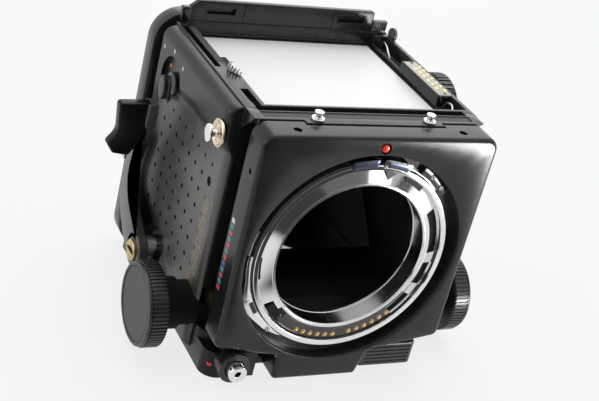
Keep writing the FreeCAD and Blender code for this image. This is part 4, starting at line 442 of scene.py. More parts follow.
def hoop(mesh, axis, centre, outer, inner, low, high, edge=0.0, steps=96, slot=0, start=0.0, sweep=360.0):
    """Ring or part of a ring with softened corners."""
    if edge:
        profile = [(inner, low + edge), (inner + edge, low), (outer - edge, low), (outer, low + edge),
                   (outer, high - edge), (outer - edge, high), (inner + edge, high), (inner, high - edge)]
    else:
        profile = [(inner, low), (outer, low), (outer, high), (inner, high)]
    turned(mesh, axis, centre, profile, steps, start, sweep, slot=slot)


def carve(made, cutter):
    """Take a closed mesh away from a piece."""
    bmesh.ops.recalc_face_normals(cutter, faces=cutter.faces)
    data = bpy.data.meshes.new("cutter")
    cutter.to_mesh(data)
    cutter.free()
    tool = placed("cutter", data)
    step = made.modifiers.new("carve", "BOOLEAN")
    step.operation = "DIFFERENCE"
    step.solver = "EXACT"
    step.object = tool
    bpy.context.view_layer.update()
    result = bpy.data.meshes.new_from_object(made.evaluated_get(bpy.context.evaluated_depsgraph_get()))
    made.modifiers.clear()
    made.data = result
    bpy.data.objects.remove(tool)
    mesh = bmesh.new()
    mesh.from_mesh(result)
    shade(mesh, SHARP_TURN)
    mesh.to_mesh(result)
    mesh.free()


def softened(node, name, finish, body, width):
    """A piece on a CAD node's form with its long edges rounded off."""
    sharp, shortest = 25.0, 1.2
    mesh = bmesh.new()
    mesh.from_mesh(nodes[node].data)
    bmesh.ops.remove_doubles(mesh, verts=mesh.verts, dist=2e-6)
    bmesh.ops.dissolve_limit(mesh, angle_limit=math.radians(0.6), verts=mesh.verts, edges=mesh.edges)
    edges = [edge for edge in mesh.edges
             if len(edge.link_faces) == 2 and edge.calc_face_angle(0.0) > math.radians(sharp)
             and edge.calc_length() > shortest * MM]
    bmesh.ops.bevel(mesh, geom=edges, offset=width * MM, segments=2, profile=0.5, affect="EDGES",
                    clamp_overlap=True)
    piece(name, mesh, finish, body, (node,))


def dress(node, finish):
    """Give a CAD node its finish."""
    data = nodes[node].data
    data.materials.clear()
    data.materials.append(finish)


def paper_white():
    """Pale floor that shows white itself and in what mirrors it, ahead only up to the sheet's slanted end."""
    made = surface("paper_white", (0.90, 0.90, 0.895), 0.65, spread=0.02, dust_and_sheen=(0.88, 0.88, 0.875),
                   dust_and_sheen_share=0.5, blotch=6.0)
    tree = made.node_tree
    wire = Wire(tree)
    lit = Wire(tree, principled(made).outputs[0])
    spot = wire.node("ShaderNodeNewGeometry", output=0)
    across = wire.node("ShaderNodeSeparateXYZ", values={0: spot}, output=0)
    along = wire.node("ShaderNodeSeparateXYZ", values={0: spot}, output=1)
    slant, past_end, at_end = 0.81, -0.126, -0.092
    near = (along + across * slant).ramp(past_end, at_end)
    # On the camera's right the sheet reaches further ahead
    aside = (0.0 - across).ramp(0.028, 0.042) * along.ramp(-0.26, -0.19)
    near = near + aside * (1.0 - near)
    bright = wire.node("ShaderNodeEmission", values={"Color": colour(0.94, 0.94, 0.935), "Strength": 1.0})
    room = wire.node("ShaderNodeEmission", values={"Color": colour(0.055, 0.052, 0.048), "Strength": 1.0})
    beyond = wire.node("ShaderNodeLightPath", output=3) * (1.0 - near)
    sheet = wire.node("ShaderNodeMixShader", values={0: beyond, 1: lit, 2: room})
    # Near the camera body some of the lit floor stays in the white, so that soft shadows show
    shadowed = 0.15
    far = (across * across + along * along).ramp(0.16, 1.0)
    share = wire.light_path(near) * (far * shadowed + (1.0 - shadowed))
    mixed = wire.node("ShaderNodeMixShader", values={0: share, 1: sheet, 2: bright})
    output = next(node for node in tree.nodes if node.type == "OUTPUT_MATERIAL")
    tree.links.new(mixed.socket, output.inputs["Surface"])
    return made


# Camera, light and floor
def studio():
    # Lens, place and turn were solved from straight edges of the photo
    focal_pixels, picture_width, sensor = 1308.84, 599, 36.0
    eye = bpy.data.cameras.new("camera")
    eye.sensor_width = sensor
    eye.lens = focal_pixels / picture_width * sensor
    eye.clip_start, eye.clip_end = 0.01, 20.0
    camera = placed("camera", eye)
    across, up = Vector((0.89081, -0.39446, 0.22549)), Vector((0.00605, 0.50653, 0.86220))
    turn = Matrix((across, up, across.cross(up))).transposed()
    camera.matrix_world = Matrix.Translation((-0.24671, -0.41517, 0.29941)) @ turn.to_4x4()
    bpy.context.scene.camera = camera

    def lamp(name, place, aim, width, height, power):
        light = bpy.data.lights.new(name, "AREA")
        light.shape, light.size, light.size_y, light.energy = "RECTANGLE", width, height, power
        made = placed(name, light)
        made.location = place
        made.rotation_mode = "QUATERNION"
        made.rotation_quaternion = (Vector(aim) - Vector(place)).to_track_quat("-Z", "Y")
        return made

    lamp("overhead_softbox", (0.20, 0.22, 0.95), (0.0, 0.0, 0.08), 0.9, 0.9, 5.4)
    lamp("side_softbox", (-0.95, 0.15, 0.35), (0.0, 0.0, 0.06), 0.5, 0.6, 1.5)
    lamp("rear_softbox", (0.54, 0.92, 0.60), (0.0, 0.0, 0.10), 1.0, 0.8, 2.4)
    front_card = lamp("front_card", (0.50, -0.80, 0.145), (0.0, 0.0, 0.08), 0.16, 0.28, 0.235)
    low_card = lamp("low_card", (0.215, -0.235, 0.022), (0.03, -0.05, 0.09), 0.09, 0.04, 0.75)

    sky = bpy.data.worlds.new("sky")
    sky.use_nodes = True
    bpy.context.scene.world = sky
    tree = sky.node_tree
    tree.nodes.clear()
    wire = Wire(tree)
    away = wire.node("ShaderNodeSeparateXYZ", values={0: wire.node("ShaderNodeTexCoord", output=0)}, output=1)
    soft = wire.node("ShaderNodeBackground", values={"Color": colour(1, 1, 1),
                                                     "Strength": 0.16 + away.ramp(-0.95, 0.2) * 0.50})
    white = wire.node("ShaderNodeBackground", values={"Color": colour(0.94, 0.94, 0.935), "Strength": 1.0})
    seen = wire.light_path(away.ramp(-0.93, -0.55))
    mixed = wire.node("ShaderNodeMixShader", values={0: seen, 1: soft, 2: white})
    wire.node("ShaderNodeOutputWorld", values={"Surface": mixed})

    mesh = bmesh.new()
    corners = [mesh.verts.new(Vector((x, y, 0.0))) for x, y in ((-3, -3), (3, -3), (3, 3), (-3, 3))]
    mesh.faces.new(corners)
    floor = piece("floor", mesh, paper_white(), None)
    # The two low cards would draw a bright patch with a sharp end on the floor, so they spare it
    spared = bpy.data.collections.new("spared_floor")
    spared.objects.link(floor)
    spared.collection_objects[0].light_linking.link_state = "EXCLUDE"
    for card in (front_card, low_card):
        card.light_linking.receiver_collection = spared
    bpy.context.scene.view_settings.view_transform = "Standard"


# Lens panel, whose outline has corners of (across, up, radius)
CHIN = [(-50.0, 18.0, 3.0), (-22.0, 12.3, 2.0), (-22.0, 0.8, 2.0), (15.5, 0.8, 2.0), (19.0, 12.3, 2.0),
        (50.0, 18.0, 3.0), (50.0, 109.7, 5.5), (-50.0, 109.7, 5.5)]


def lens_panel():
    """Panel with a rounded front edge, the recess round the mount, its chin and its small holes."""
    mesh = bmesh.new()
    outline = eased(CHIN, 10)
    dense, spacing = [], 3.0
    for number, point in enumerate(outline):
        here, there = Vector(point), Vector(outline[(number + 1) % len(outline)])
        parts = max(1, int((there - here).length / spacing))
        dense += [tuple(here.lerp(there, part / parts)) for part in range(parts)]
    angles = [math.atan2(up - LENS[1], across - LENS[0]) for across, up in dense]

    def circle(radius, along):
        return [(LENS[0] + radius * math.cos(turn), along, LENS[1] + radius * math.sin(turn))
                for turn in angles]

    edge, rear_edge = 1.8, 0.6
    rings = [circle(radius, along) for radius, along in (
        (32.9, PANEL_BACK), (32.9, RECESS_FLOOR), (45.9, RECESS_FLOOR), (45.9, PANEL_FRONT + 0.5),
        (46.05, PANEL_FRONT + 0.15), (46.4, PANEL_FRONT))]
    for step in range(7):
        turn = math.pi / 2 * step / 6
        rings.append([(a, PANEL_FRONT + edge * (1 - math.cos(turn)), u)
                      for a, u in shrunk(dense, edge * (1 - math.sin(turn)))])
    rings.append([(a, PANEL_BACK - rear_edge, u) for a, u in dense])
    rings.append([(a, PANEL_BACK, u) for a, u in shrunk(dense, rear_edge)])
    rings.append(rings[0])
    skin(mesh, rings, caps=False)
    made = piece("lens_panel_shell", mesh, PANEL_BLACK, "front_standard", ("front_panel",))
    holes = bmesh.new()
    drum(holes, "Y", (0.0, 105.0), 2.3, -51.0, -48.5, steps=32)
    for side in (-1, 1):
        drum(holes, "Z", (side * 35.3, -45.0), 1.7, 107.7, 111.0, steps=24)
    block(holes, (-30.0, -41.2, 105.8), (30.0, -36.0, 112.0))
    drum(holes, "X", (-44.6, 92.4), 1.1, -51.0, -49.0, steps=16)
    carve(made, holes)


def index_mark():
    """Domed dot at the top of the panel."""
    mesh = bmesh.new()
    turned(mesh, "Y", (0.0, 105.0), [(0.0, -50.4), (0.7, -50.36), (1.25, -50.2), (1.6, -49.8), (1.7, -49.2),
                                     (1.7, -48.5), (0.0, -48.5)], 32, closed=False)
    piece("lens_index_mark", mesh, RED, "front_standard", ("index_dot",))


def screw_head(mesh, axis, centre, radius, front, depth, out):
    """Domed screw head that looks out along its axis, or against it where out is -1."""
    profile = [(0.0, front), (radius * 0.75, front), (radius * 0.95, front - out * depth * 0.3),
               (radius, front - out * depth * 0.6), (radius, front - out * depth), (0.0, front - out * depth)]
    turned(mesh, axis, centre, profile, 32, closed=False)


def polar(radius, angle):
    """Point at a radius and an angle in degrees round the lens axis."""
    turn = math.radians(angle)
    return (LENS[0] + radius * math.cos(turn), LENS[1] + radius * math.sin(turn))


def lug(mesh, corners, low, high, slot=0, edge=0.0):
    """Plate round the lens axis on corners of (radius, degrees), in order against the clock."""
    slab(mesh, "Y", [polar(*corner) for corner in corners], low, high, edge, 0.0, 3, slot)


def arc(radius, start, end, count=12):
    return [(radius, start + (end - start) * step / count) for step in range(count + 1)]


def sector(inner, outer, start, end, count=12):
    """Corners of a piece of a ring."""
    return arc(inner, end, start, count) + arc(outer, start, end, count)


FLOOR_CONE = [(THROAT_OUTER, -47.35), (SEAT_INNER, -45.7), (SEAT_INNER, -45.4), (THROAT_OUTER, -45.4)]


def mount_rings():
    """Seat ring with a sloping flank, throat with its thin lip, and the cone between the two."""
    mesh = bmesh.new()
    turned(mesh, "Y", LENS, [(SEAT_INNER, -45.6), (38.72, -47.9), (39.0, -48.2), (40.6, -48.2),
                             (40.85, -48.1), (SEAT_OUTER, -46.9), (SEAT_OUTER, -45.6)], 192)
    piece("seat_ring_chrome", mesh, CHROME, "front_standard", ("seat_ring",))
    mesh = bmesh.new()
    turned(mesh, "Y", LENS, [(31.5, -47.2), (31.8, -47.5), (32.4, -47.5), (32.8, -47.3), (32.8, -38.0),
                             (31.6, -38.0), (31.3, -38.3), (31.3, -39.1), (31.55, -39.35), (31.55, -45.6),
                             (31.3, -45.9), (31.3, -47.0)], 192)
    piece("throat_chrome", mesh, SATIN, "front_standard", ("throat_tube",))
    mesh = bmesh.new()
    for start, end in ((33.0, 168.0), (195.0, 214.0), (329.0, 337.5), (353.5, 361.0)):
        turned(mesh, "Y", LENS, FLOOR_CONE, int(end - start), start, end - start)
    slope = 0.284
    for start, end, reach in ((168.0, 180.0, 37.9), (180.0, 195.0, 37.1)):
        slotted = [(THROAT_OUTER, -47.35), (reach, -45.7 - (SEAT_INNER - reach) * slope), (reach, -45.4),
                   (THROAT_OUTER, -45.4)]
        turned(mesh, "Y", LENS, slotted, 14, start, end - start)
    inner_rim = [(THROAT_OUTER, -47.35), (34.3, -46.9), (34.3, -45.4), (THROAT_OUTER, -45.4)]
    outer_rim = [(38.0, -45.9), (SEAT_INNER, -45.9), (SEAT_INNER, -45.4), (38.0, -45.4)]
    for start, end in ((214.0, 222.0), (313.0, 329.0), (337.5, 353.5), (1.0, 33.0)):
        for rim in (inner_rim, outer_rim):
            turned(mesh, "Y", LENS, rim, 16, start, end - start)
    hoop(mesh, "Y", LENS, SEAT_OUTER, SEAT_INNER, -45.6, RECESS_FLOOR, 0.0, 192)
    piece("mount_floor_chrome", mesh, CHROME, "front_standard", ("mount_flange",))
    mesh = bmesh.new()
    hoop(mesh, "Y", LENS, SEAT_INNER, THROAT_OUTER, -45.3, RECESS_FLOOR, 0.0, 192)
    piece("mount_dark_recesses", mesh, INNER_BLACK, "front_standard")


def mount_lugs():
    """Lugs outside the seat ring, with their screws and the stepped cam at the lower left."""
    mesh = bmesh.new()
    cam = (arc(41.4, 243.0, 179.0, 24) + [(43.0, 179.0)] + arc(43.1, 182.0, 194.0, 4) + [(45.3, 204.0)]
           + arc(45.6, 207.0, 215.0, 3) + [(44.0, 228.0), (42.6, 237.0)])
    chrome, black = 0, 1
    for corners, low, high, finish, edge in (
            (cam, -46.3, RECESS_FLOOR, chrome, 0.15),
            (sector(41.4, 42.1, 310.0, 322.0), -46.3, RECESS_FLOOR, chrome, 0.1),
            (sector(41.4, 42.1, 335.0, 353.0), -46.3, RECESS_FLOOR, chrome, 0.1),
            (sector(43.0, 43.6, 164.0, 178.0), -46.6, RECESS_FLOOR, chrome, 0.1),
            (sector(41.3, 41.7, 44.0, 70.0) + [(43.6, 72.5), (43.2, 72.5)], -46.9, RECESS_FLOOR, chrome,
             0.05),
            # Painted dark reflection: this lug is gloss black where the chrome mirrors a dark room
            (sector(41.9, 45.2, 38.0, 60.0), -46.0, RECESS_FLOOR, black, 0.3),
            # Painted shade: a thin black plate on the cam stands for a dark hole
            (sector(41.7, 43.4, 208.0, 216.0), -46.33, -46.29, black, 0.0),
            (sector(36.4, 38.9, 52.0, 67.0), -46.45, -45.6, black, 0.0)):
        lug(mesh, corners, low, high, finish, edge)
    piece("mount_lug_ring", mesh, [CHROME, GLOSS_BLACK], "front_standard")
    mesh = bmesh.new()
    lean = 0.4
    for radius, angle, level in ((44.2, 206.0, -46.6), (42.9, 230.0, -46.6), (44.0, 43.0, -46.4),
                                 (44.0, 52.0, -46.4)):
        centre = Vector(polar(radius, angle))
        screw_head(mesh, "Y", centre, 1.1, level, 0.5, -1.0)
        for turn in (lean, lean + math.pi / 2):
            reach = Vector((math.cos(turn), math.sin(turn))) * 0.75
            half = Vector((-math.sin(turn), math.cos(turn))) * 0.14
            cross = [tuple(centre + corner)
                     for corner in (reach + half, half - reach, -reach - half, reach - half)]
            slab(mesh, "Y", cross, level - 0.03, level + 0.02, slot=1)
    piece("mount_screw_heads", mesh, [CHROME, INNER_BLACK], "front_standard", ("mount_screws",))


def mount_fittings():
    """Catch block with its bright outline, catch plate, contact carrier with its pins, and the drive ring."""
    mesh = bmesh.new()
    lug(mesh, sector(39.9, 43.4, 70.0, 86.5), -48.6, -48.2, 0, 0.15)
    lug(mesh, sector(40.4, 43.0, 71.5, 84.5), -48.9, -48.55, 1, 0.1)
    lug(mesh, sector(41.8, 43.0, 71.5, 83.0), -48.3, RECESS_FLOOR, 1)
    lug(mesh, [(34.6, 79.0), (39.0, 74.0), (39.0, 83.5)], -46.95, -46.7, 2)
    piece("lens_latch", mesh, [CHROME, BLUED, CARRIER], "front_standard", ("lens_catch",))
    mesh = bmesh.new()
    lug(mesh, sector(39.8, 43.2, 90.0, 105.0), -48.42, -48.2, 0, 0.08)
    lug(mesh, sector(41.8, 43.0, 91.0, 103.0), -48.3, RECESS_FLOOR, 0)
    piece("lens_catch_plate", mesh, BLUED, "front_standard", ("catch_plate",))
    mesh = bmesh.new()
    lug(mesh, sector(33.1, 38.4, 221.0, 313.0, 60), -46.7, -45.4, 0, 0.2)
    # Painted shade: a matte black pad, proud of the carrier, stands for the dark recess at its end
    lug(mesh, sector(33.2, 38.3, 215.5, 230.5), -46.78, -45.4, 1, 0.35)
    piece("contact_carrier_block", mesh, [CARRIER, INNER_BLACK], "front_standard",
          ("contact_carrier",))
    mesh = bmesh.new()
    places, empty_place, first, pitch = 13, 6, 245.7, 5.475
    for number in range(places):
        if number == empty_place:
            continue
        centre = polar(36.6, first + pitch * number)
        turned(mesh, "Y", centre, [(0.0, -47.5), (0.3, -47.45), (0.5, -47.2), (0.58, -46.95), (0.58, -46.7),
                                   (0.0, -46.7)], 16, closed=False)
        hoop(mesh, "Y", centre, 1.05, 0.75, -46.76, -46.7, steps=16, slot=1)
    piece("lens_contact_pins", mesh, [GOLD, BRASS], "front_standard", ("lens_contacts",))
    mesh = bmesh.new()
    turned(mesh, "Y", LENS, [(38.3, -43.7), (33.1, -43.7), (33.1, -42.2), (38.3, -42.2)], 96)
    for start in (169.0, -12.0):
        hoop(mesh, "Y", LENS, 37.3, 34.9, -45.2, -42.8, 0.2, 12, start=start, sweep=7.0)
    piece("drive_ring_steel", mesh, STEEL, "drive_ring", ("drive_ring",))
    mesh = bmesh.new()
    screw_head(mesh, "Y", polar(36.2, 228.0), 1.3, -47.1, 0.4, -1.0)
    piece("mount_small_screw", mesh, FRAME_BLACK, "front_standard")


def panel_screw_heads():
    """Screws sunk in the panel's top."""
    mesh = bmesh.new()
    for side in (-1, 1):
        screw_head(mesh, "Z", (side * 35.3, -45.0), 1.3, 108.9, 0.6, 1.0)
    piece("panel_screw_heads", mesh, INNER_BLACK, "front_standard", ("panel_screws",))


# Bellows between the panel and the body
def bellows_folds():
    """Pleated cloth that stretches from the body to the panel."""
    mesh = bmesh.new()
    front, back, folds, thick = -37.95, -28.55, 12, 3.4

    def ring(number, inset, radius):
        along = front + (back - front) * number / folds
        inset += 0.0 if number % 2 else 3.0
        half = 42.0 - inset
        return [(a, along, u) for a, u in plate(-half, 18.5 + inset, half, 104.0 - inset, radius)]

    outside = [ring(number, 0.0, 1.5) for number in range(folds + 1)]
    inside = [ring(number, thick, 1.0) for number in range(folds, -1, -1)]
    skin(mesh, outside + inside + outside[:1], caps=False)
    made = piece("bellows_folds", mesh, CLOTH, None)
    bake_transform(made)
    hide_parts("bellows")


# Right side cover with its dish, whose edge runs through points of (setback, height)
DISH = [(22.0, 91.5), (70.0, 91.5), (88.0, 87.5), (94.0, 80.0), (91.0, 70.0), (89.8, 60.0), (92.8, 51.0),
        (94.2, 43.0), (92.0, 36.5), (86.5, 32.6), (77.5, 29.2), (66.0, 25.6), (57.0, 22.8), (50.0, 17.5),
        (47.0, 10.0), (47.0, 3.0)]


def eased_line(points):
    """Open line with its corners cut off twice."""
    for _ in range(2):
        cut = [points[0]]
        for here, there in zip(points, points[1:]):
            a, b = Vector(here), Vector(there)
            cut += [tuple(a.lerp(b, 0.25)), tuple(a.lerp(b, 0.75))]
        points = cut + [points[-1]]
    return points


DISH_LINE = [Vector(point) for point in eased_line(DISH)]


def past_dish(setback, height):
    """Distance outside the dish's edge, negative within the dish."""
    here = Vector((setback, height))
    best, sign = 1e9, 1.0
    for a, b in zip(DISH_LINE, DISH_LINE[1:]):
        run = b - a
        share = max(0.0, min(1.0, (here - a).dot(run) / run.length_squared))
        gap = here - (a + run * share)
        if gap.length < best - 1e-6:
            best = gap.length
            sign = 1.0 if run.x * gap.y - run.y * gap.x > 0 else -1.0
    return best * sign


def ease(share):
    share = max(0.0, min(1.0, share))
    return share * share * (3 - 2 * share)


def right_shell():
    """Cover whose dish sinks between its raised top and its raised rear border, with its dimples drilled."""
    mesh = bmesh.new()
    front, rear, foot, bend, top = -27.5, 46.5, 3.0, 101.0, 109.3
    raised, edge, nose, shoulder = 3.0, 1.2, 3.4, 4.5
    ys = [front, -27.4, -27.2, -26.8, -26.4, -25.9, -25.4, -24.9]
    ys += [-24.4 + (rear + 24.4) * step / 79 for step in range(80)]
    zs = [foot + (bend - foot) * step / 108 for step in range(109)]
    zs += [bend + (top - bend) * step / 18 for step in range(1, 19)]
    grid = []
    for y in ys:
        column = []
        for z in zs:
            rise = raised * ease((past_dish(y + SETBACK, z) + 4.0) / 8.0)
            border = min((rear - y) / edge, (z - foot) / edge, 1.0)
            dip = 1.1 * (1.0 - math.sqrt(max(0.0, 1.0 - (1.0 - max(border, 0.0)) ** 2)))
            ahead = 1.0 - min((y - front) / nose, 1.0)
            dip += 2.42 * (1.0 - math.sqrt(max(0.0, 1.0 - ahead ** 2)))
            dip += shoulder - math.sqrt(max(0.0, shoulder ** 2 - max(0.0, z - top + shoulder) ** 2))
            column.append(mesh.verts.new(at(DISH_FACE - rise + dip, y, z)))
        grid.append(column)
    for y, left, right in zip(ys, grid, grid[1:]):
        for low in range(len(zs) - 1):
            face = mesh.faces.new((left[low], right[low], right[low + 1], left[low + 1]))
            # Faces inside the dish take the lighter finish: dust with painted sheen
            face.material_index = 1 if past_dish(y + SETBACK + 0.5, zs[low]) < -1.0 else 0
    rim = ([column[0] for column in grid] + grid[-1][1:] + [column[-1] for column in grid[-2::-1]]
           + grid[0][-2:0:-1])
    back = [mesh.verts.new(Vector((-49.4 * MM, vert.co.y, vert.co.z))) for vert in rim]
    for number in range(len(rim)):
        after = (number + 1) % len(rim)
        mesh.faces.new((rim[number], rim[after], back[after], back[number]))
    mesh.faces.new(back)
    made = piece("right_side_shell", mesh, [SHELL_BLACK, DISH_DUST_AND_SHEEN], "root", ("right_cover",))
    holes = bmesh.new()
    # Dimples stand in a grid that spares the knob, the lever and the strap lug
    keep_off = ((29.7, 19.65, 12.5), (68.0, 20.0, 12.0), (26.0, 97.0, 8.0))
    columns, rows, pitch_back, pitch_up = 9, 8, 7.55, 7.35
    wide, narrow, narrow_from, margin = 0.95, 0.75, 77.0, 1.2
    for place in range(columns * rows):
        setback, height = 32.4 + pitch_back * (place // rows), 28.7 + pitch_up * (place % rows)
        if past_dish(setback, height) < -margin and all(
                math.hypot(setback - a, height - b) > radius for a, b, radius in keep_off):
            drum(holes, "X", (setback - SETBACK, height), wide if height < narrow_from else narrow,
                 -53.6, -51.3, steps=14)
    drum(holes, "X", (-17.9, 73.2), 1.9, -53.0, -51.2, steps=20)
    drum(holes, "X", SHAFT, 9.05, -53.0, -48.0, steps=48)
    drum(holes, "X", (30.0, 91.0), 10.8, -57.0, MULTI_FLOOR, steps=64)
    hoop(holes, "X", LEVER_PIVOT, 10.5, 6.2, -57.0, DISH_FACE, steps=64)
    carve(made, holes)
    mesh = bmesh.new()
    drum(mesh, "X", LEVER_PIVOT, 6.2, -57.5, DISH_FACE, steps=48)
    piece("lever_pivot_boss", mesh, STEEL, "root")


def focusing_knobs():
    """Ribbed knobs with a plain rim; the disc is let into the face."""
    for side, name, node in ((-1, "right_knob_ribbed", "right_focus_knob"),
                             (1, "left_knob_ribbed", "left_focus_knob")):
        mesh = bmesh.new()
        rings = []
        for radius, along, groove in (
                (15.15, 72.0, 0.0), (15.15, 72.65, 0.0), (15.35, 72.85, 0.0), (16.2, 72.85, 0.0),
                (16.6, 72.6, 0.0), (16.75, 72.1, 0.0), (16.75, 71.75, 0.0), (16.6, 71.6, 0.0),
                (16.6, 71.45, 0.55), (17.15, 71.2, 0.55), (17.2, 70.9, 0.55), (17.2, 65.4, 0.55),
                (17.0, 65.0, 0.55), (16.4, 64.6, 0.275), (15.8, 64.5, 0.0), (3.0, 64.5, 0.0),
                (3.0, 71.0, 0.0), (3.0, 72.0, 0.0)):
            rings.append(fluted(SHAFT, radius, side * along, 66, 8, groove, 0.75, 0.125))
        skin(mesh, rings + rings[:1], caps=False)
        piece(name, mesh, KNOB_BLACK, "focus_drive", (node,), sharp=24.0)


def knob_faces():
    """Grooved disc in each knob's face, and the bosses behind the knobs."""
    mesh = bmesh.new()
    profile = ((0.0, 72.65), (13.9, 72.65), (14.1, 72.5), (14.3, 72.5), (14.45, 72.65), (14.95, 72.6),
               (15.0, 72.4), (15.0, 72.05), (0.0, 72.05))
    for side in (-1, 1):
        turned(mesh, "X", SHAFT, [(radius, side * along) for radius, along in profile], 96, closed=False)
    piece("knob_face_discs", mesh, CHARCOAL, "focus_drive", ("knob_discs",))
    mesh = bmesh.new()
    for side in (-1, 1):
        hoop(mesh, "X", SHAFT, 10.4, 9.0, side * 57.5, side * 63.2, 0.3, 64)
    piece("knob_bosses", mesh, INNER_BLACK, "root")


# Cocking lever, whose arm runs through points of (setback, height, half width)
ARM = ((68.0, 20.0, 6.5), (77.0, 24.2, 7.0), (86.0, 31.5, 6.0), (90.6, 40.5, 4.4), (91.0, 49.0, 3.5),
       (88.5, 57.5, 3.6), (85.0, 66.0, 3.6), (83.0, 76.0, 3.3), (82.5, 81.0, 3.0))


def through(points, share):
    """Point on a smooth line through points; share runs from 0 to 1."""
    place = share * (len(points) - 1)
    number = min(int(place), len(points) - 2)
    part = place - number
    before, here = points[max(number - 1, 0)], points[number]
    there, after = points[number + 1], points[min(number + 2, len(points) - 1)]
    return tuple(0.5 * (2 * b + (c - a) * part + (2 * a - 5 * b + 4 * c - d) * part ** 2
                        + (3 * b - a - 3 * c + d) * part ** 3)
                 for a, b, c, d in zip(before, here, there, after))


def cocking_arm():
    """Curved arm with its hub and slotted screw."""
    mesh = bmesh.new()
    count = 72
    line = [through(ARM, step / count) for step in range(count + 1)]
    sides = ([], [])
    for number, (setback, height, half) in enumerate(line):
        before, after = line[max(number - 1, 0)], line[min(number + 1, count)]
        run = Vector((after[0] - before[0], after[1] - before[1])).normalized()
        for side, points in zip((1, -1), sides):
            points.append((setback - SETBACK - run.y * half * side, height + run.x * half * side))
    slab(mesh, "X", anticlockwise(sides[0][::-1] + sides[1]), -62.0, -57.55, 0.9, 0.4, 5)
    piece("cocking_arm", mesh, ARM_WEAR_AND_SHEEN, "cocking_lever", ("cocking_lever",))
    mesh = bmesh.new()
    hoop(mesh, "X", LEVER_PIVOT, 7.6, 4.8, -62.0, -57.55, 0.5, 64)
    piece("cocking_hub", mesh, ARM_WEAR_AND_SHEEN, "cocking_lever")
    mesh = bmesh.new()
    turned(mesh, "X", LEVER_PIVOT, [(0.0, -62.7), (1.2, -62.75), (3.6, -63.1), (4.3, -63.2), (4.6, -62.9),
                                    (4.6, -62.0), (0.0, -62.0)], 48, closed=False)
    block(mesh, (-63.22, 14.6, 19.55), (-62.8, 21.4, 20.45), slot=1)
    piece("lever_brass_screw", mesh, [BRASS, INNER_BLACK], "cocking_lever", ("lever_screw",))


def cocking_grip():
    """Flared thumb paddle with rounded edges."""
    mesh = bmesh.new()
    corners = [(-60.4, 64.4, 0.4), (-62.0, 64.4, 0.5), (-66.6, 57.4, 1.5), (-73.4, 58.4, 2.0),
               (-76.3, 62.7, 1.5), (-72.6, 67.6, 7.0), (-73.8, 80.9, 1.4), (-60.4, 81.2, 0.4)]
    slab(mesh, "Y", anticlockwise(eased(corners, 8)), 30.5, 35.5, 0.9, 0.9, 5)
    piece("cocking_grip_paddle", mesh, GRIP_BLACK, "cocking_lever", ("lever_grip",))


def multi_lever():
    """Oval knob on a small arm, deep in its round recess, with its coloured dot."""
    mesh = bmesh.new()
    drum(mesh, "X", (30.0, 90.5), 5.0, -54.6, -53.05, 0.3, 40)
    outline = eased([(29.5, 82.8, 1.5), (37.6, 81.4, 2.8), (38.8, 88.2, 2.8), (31.5, 93.5, 2.0)], 6)
    slab(mesh, "X", outline, -54.9, -53.4, 0.5, 0.0, 4)
    piece("multi_lever_arm", mesh, FRAME_BLACK, "multi_exposure_lever",
          ("multi_exposure_lever",))
    mesh = bmesh.new()
    slab(mesh, "X", oval((34.2, 87.2), 3.2, 5.3, 40, (0.97, 0.12)), -56.6, -54.8, 0.5, 0.0, 5)
    piece("multi_lever_knob", mesh, KNOB_BLACK, "multi_exposure_lever")
    mesh = bmesh.new()
    drum(mesh, "X", (36.9, 95.6), 0.9, -53.15, -52.9, 0.05, 20)
    piece("multi_lever_dot", mesh, ORANGE, "root")


def strap_lugs():
    """Turned washer and an oval headed stud on each side."""
    profile = ((1.75, 0.0), (5.2, 0.0), (5.5, 0.3), (5.4, 0.9), (4.9, 1.2), (4.4, 1.1), (3.9, 0.7),
               (3.2, 0.75), (2.7, 1.1), (1.75, 1.15))
    for side, face, word in ((-1, 55.0, "right"), (1, 54.0, "left")):
        mesh = bmesh.new()
        turned(mesh, "X", STRAP, [(radius, side * (face + out)) for radius, out in profile], 64)
        piece(f"{word}_lug_washer", mesh, LUG_BRASS, "root", ("strap_washers",) if side < 0 else ())
        mesh = bmesh.new()
        drum(mesh, "X", STRAP, 1.7, *sorted((side * face, side * (face + 4.0))), steps=32)
        near, far = sorted((side * (face + 3.7), side * (face + 5.0)))
        slab(mesh, "X", oval(STRAP, 3.0, 3.6, 48), near, far, 0.4, 0.4, 4)
        piece(f"{word}_lug_stud", mesh, CHROME, "root", ("strap_lugs",) if side < 0 else ())


# Top of the body
def finder_stud_pair():
    """Two turned studs on the shelf, each with a foot, a neck and a head."""
    mesh = bmesh.new()
    profile = [(0.0, 110.0), (2.35, 110.0), (2.6, 110.2), (2.6, 110.75), (2.4, 111.05), (1.9, 111.2),
               (1.3, 111.2), (1.2, 111.4), (1.2, 112.2), (1.3, 112.4), (1.7, 112.45), (1.9, 112.7),
               (1.9, 113.2), (1.7, 113.5), (1.3, 113.6), (0.0, 113.6)]
    for side in (-1, 1):
        turned(mesh, "Z", (side * 24.0, -37.4), profile, 48, closed=False)
    piece("finder_stud_pair", mesh, CHROME, "root", ("finder_studs",))


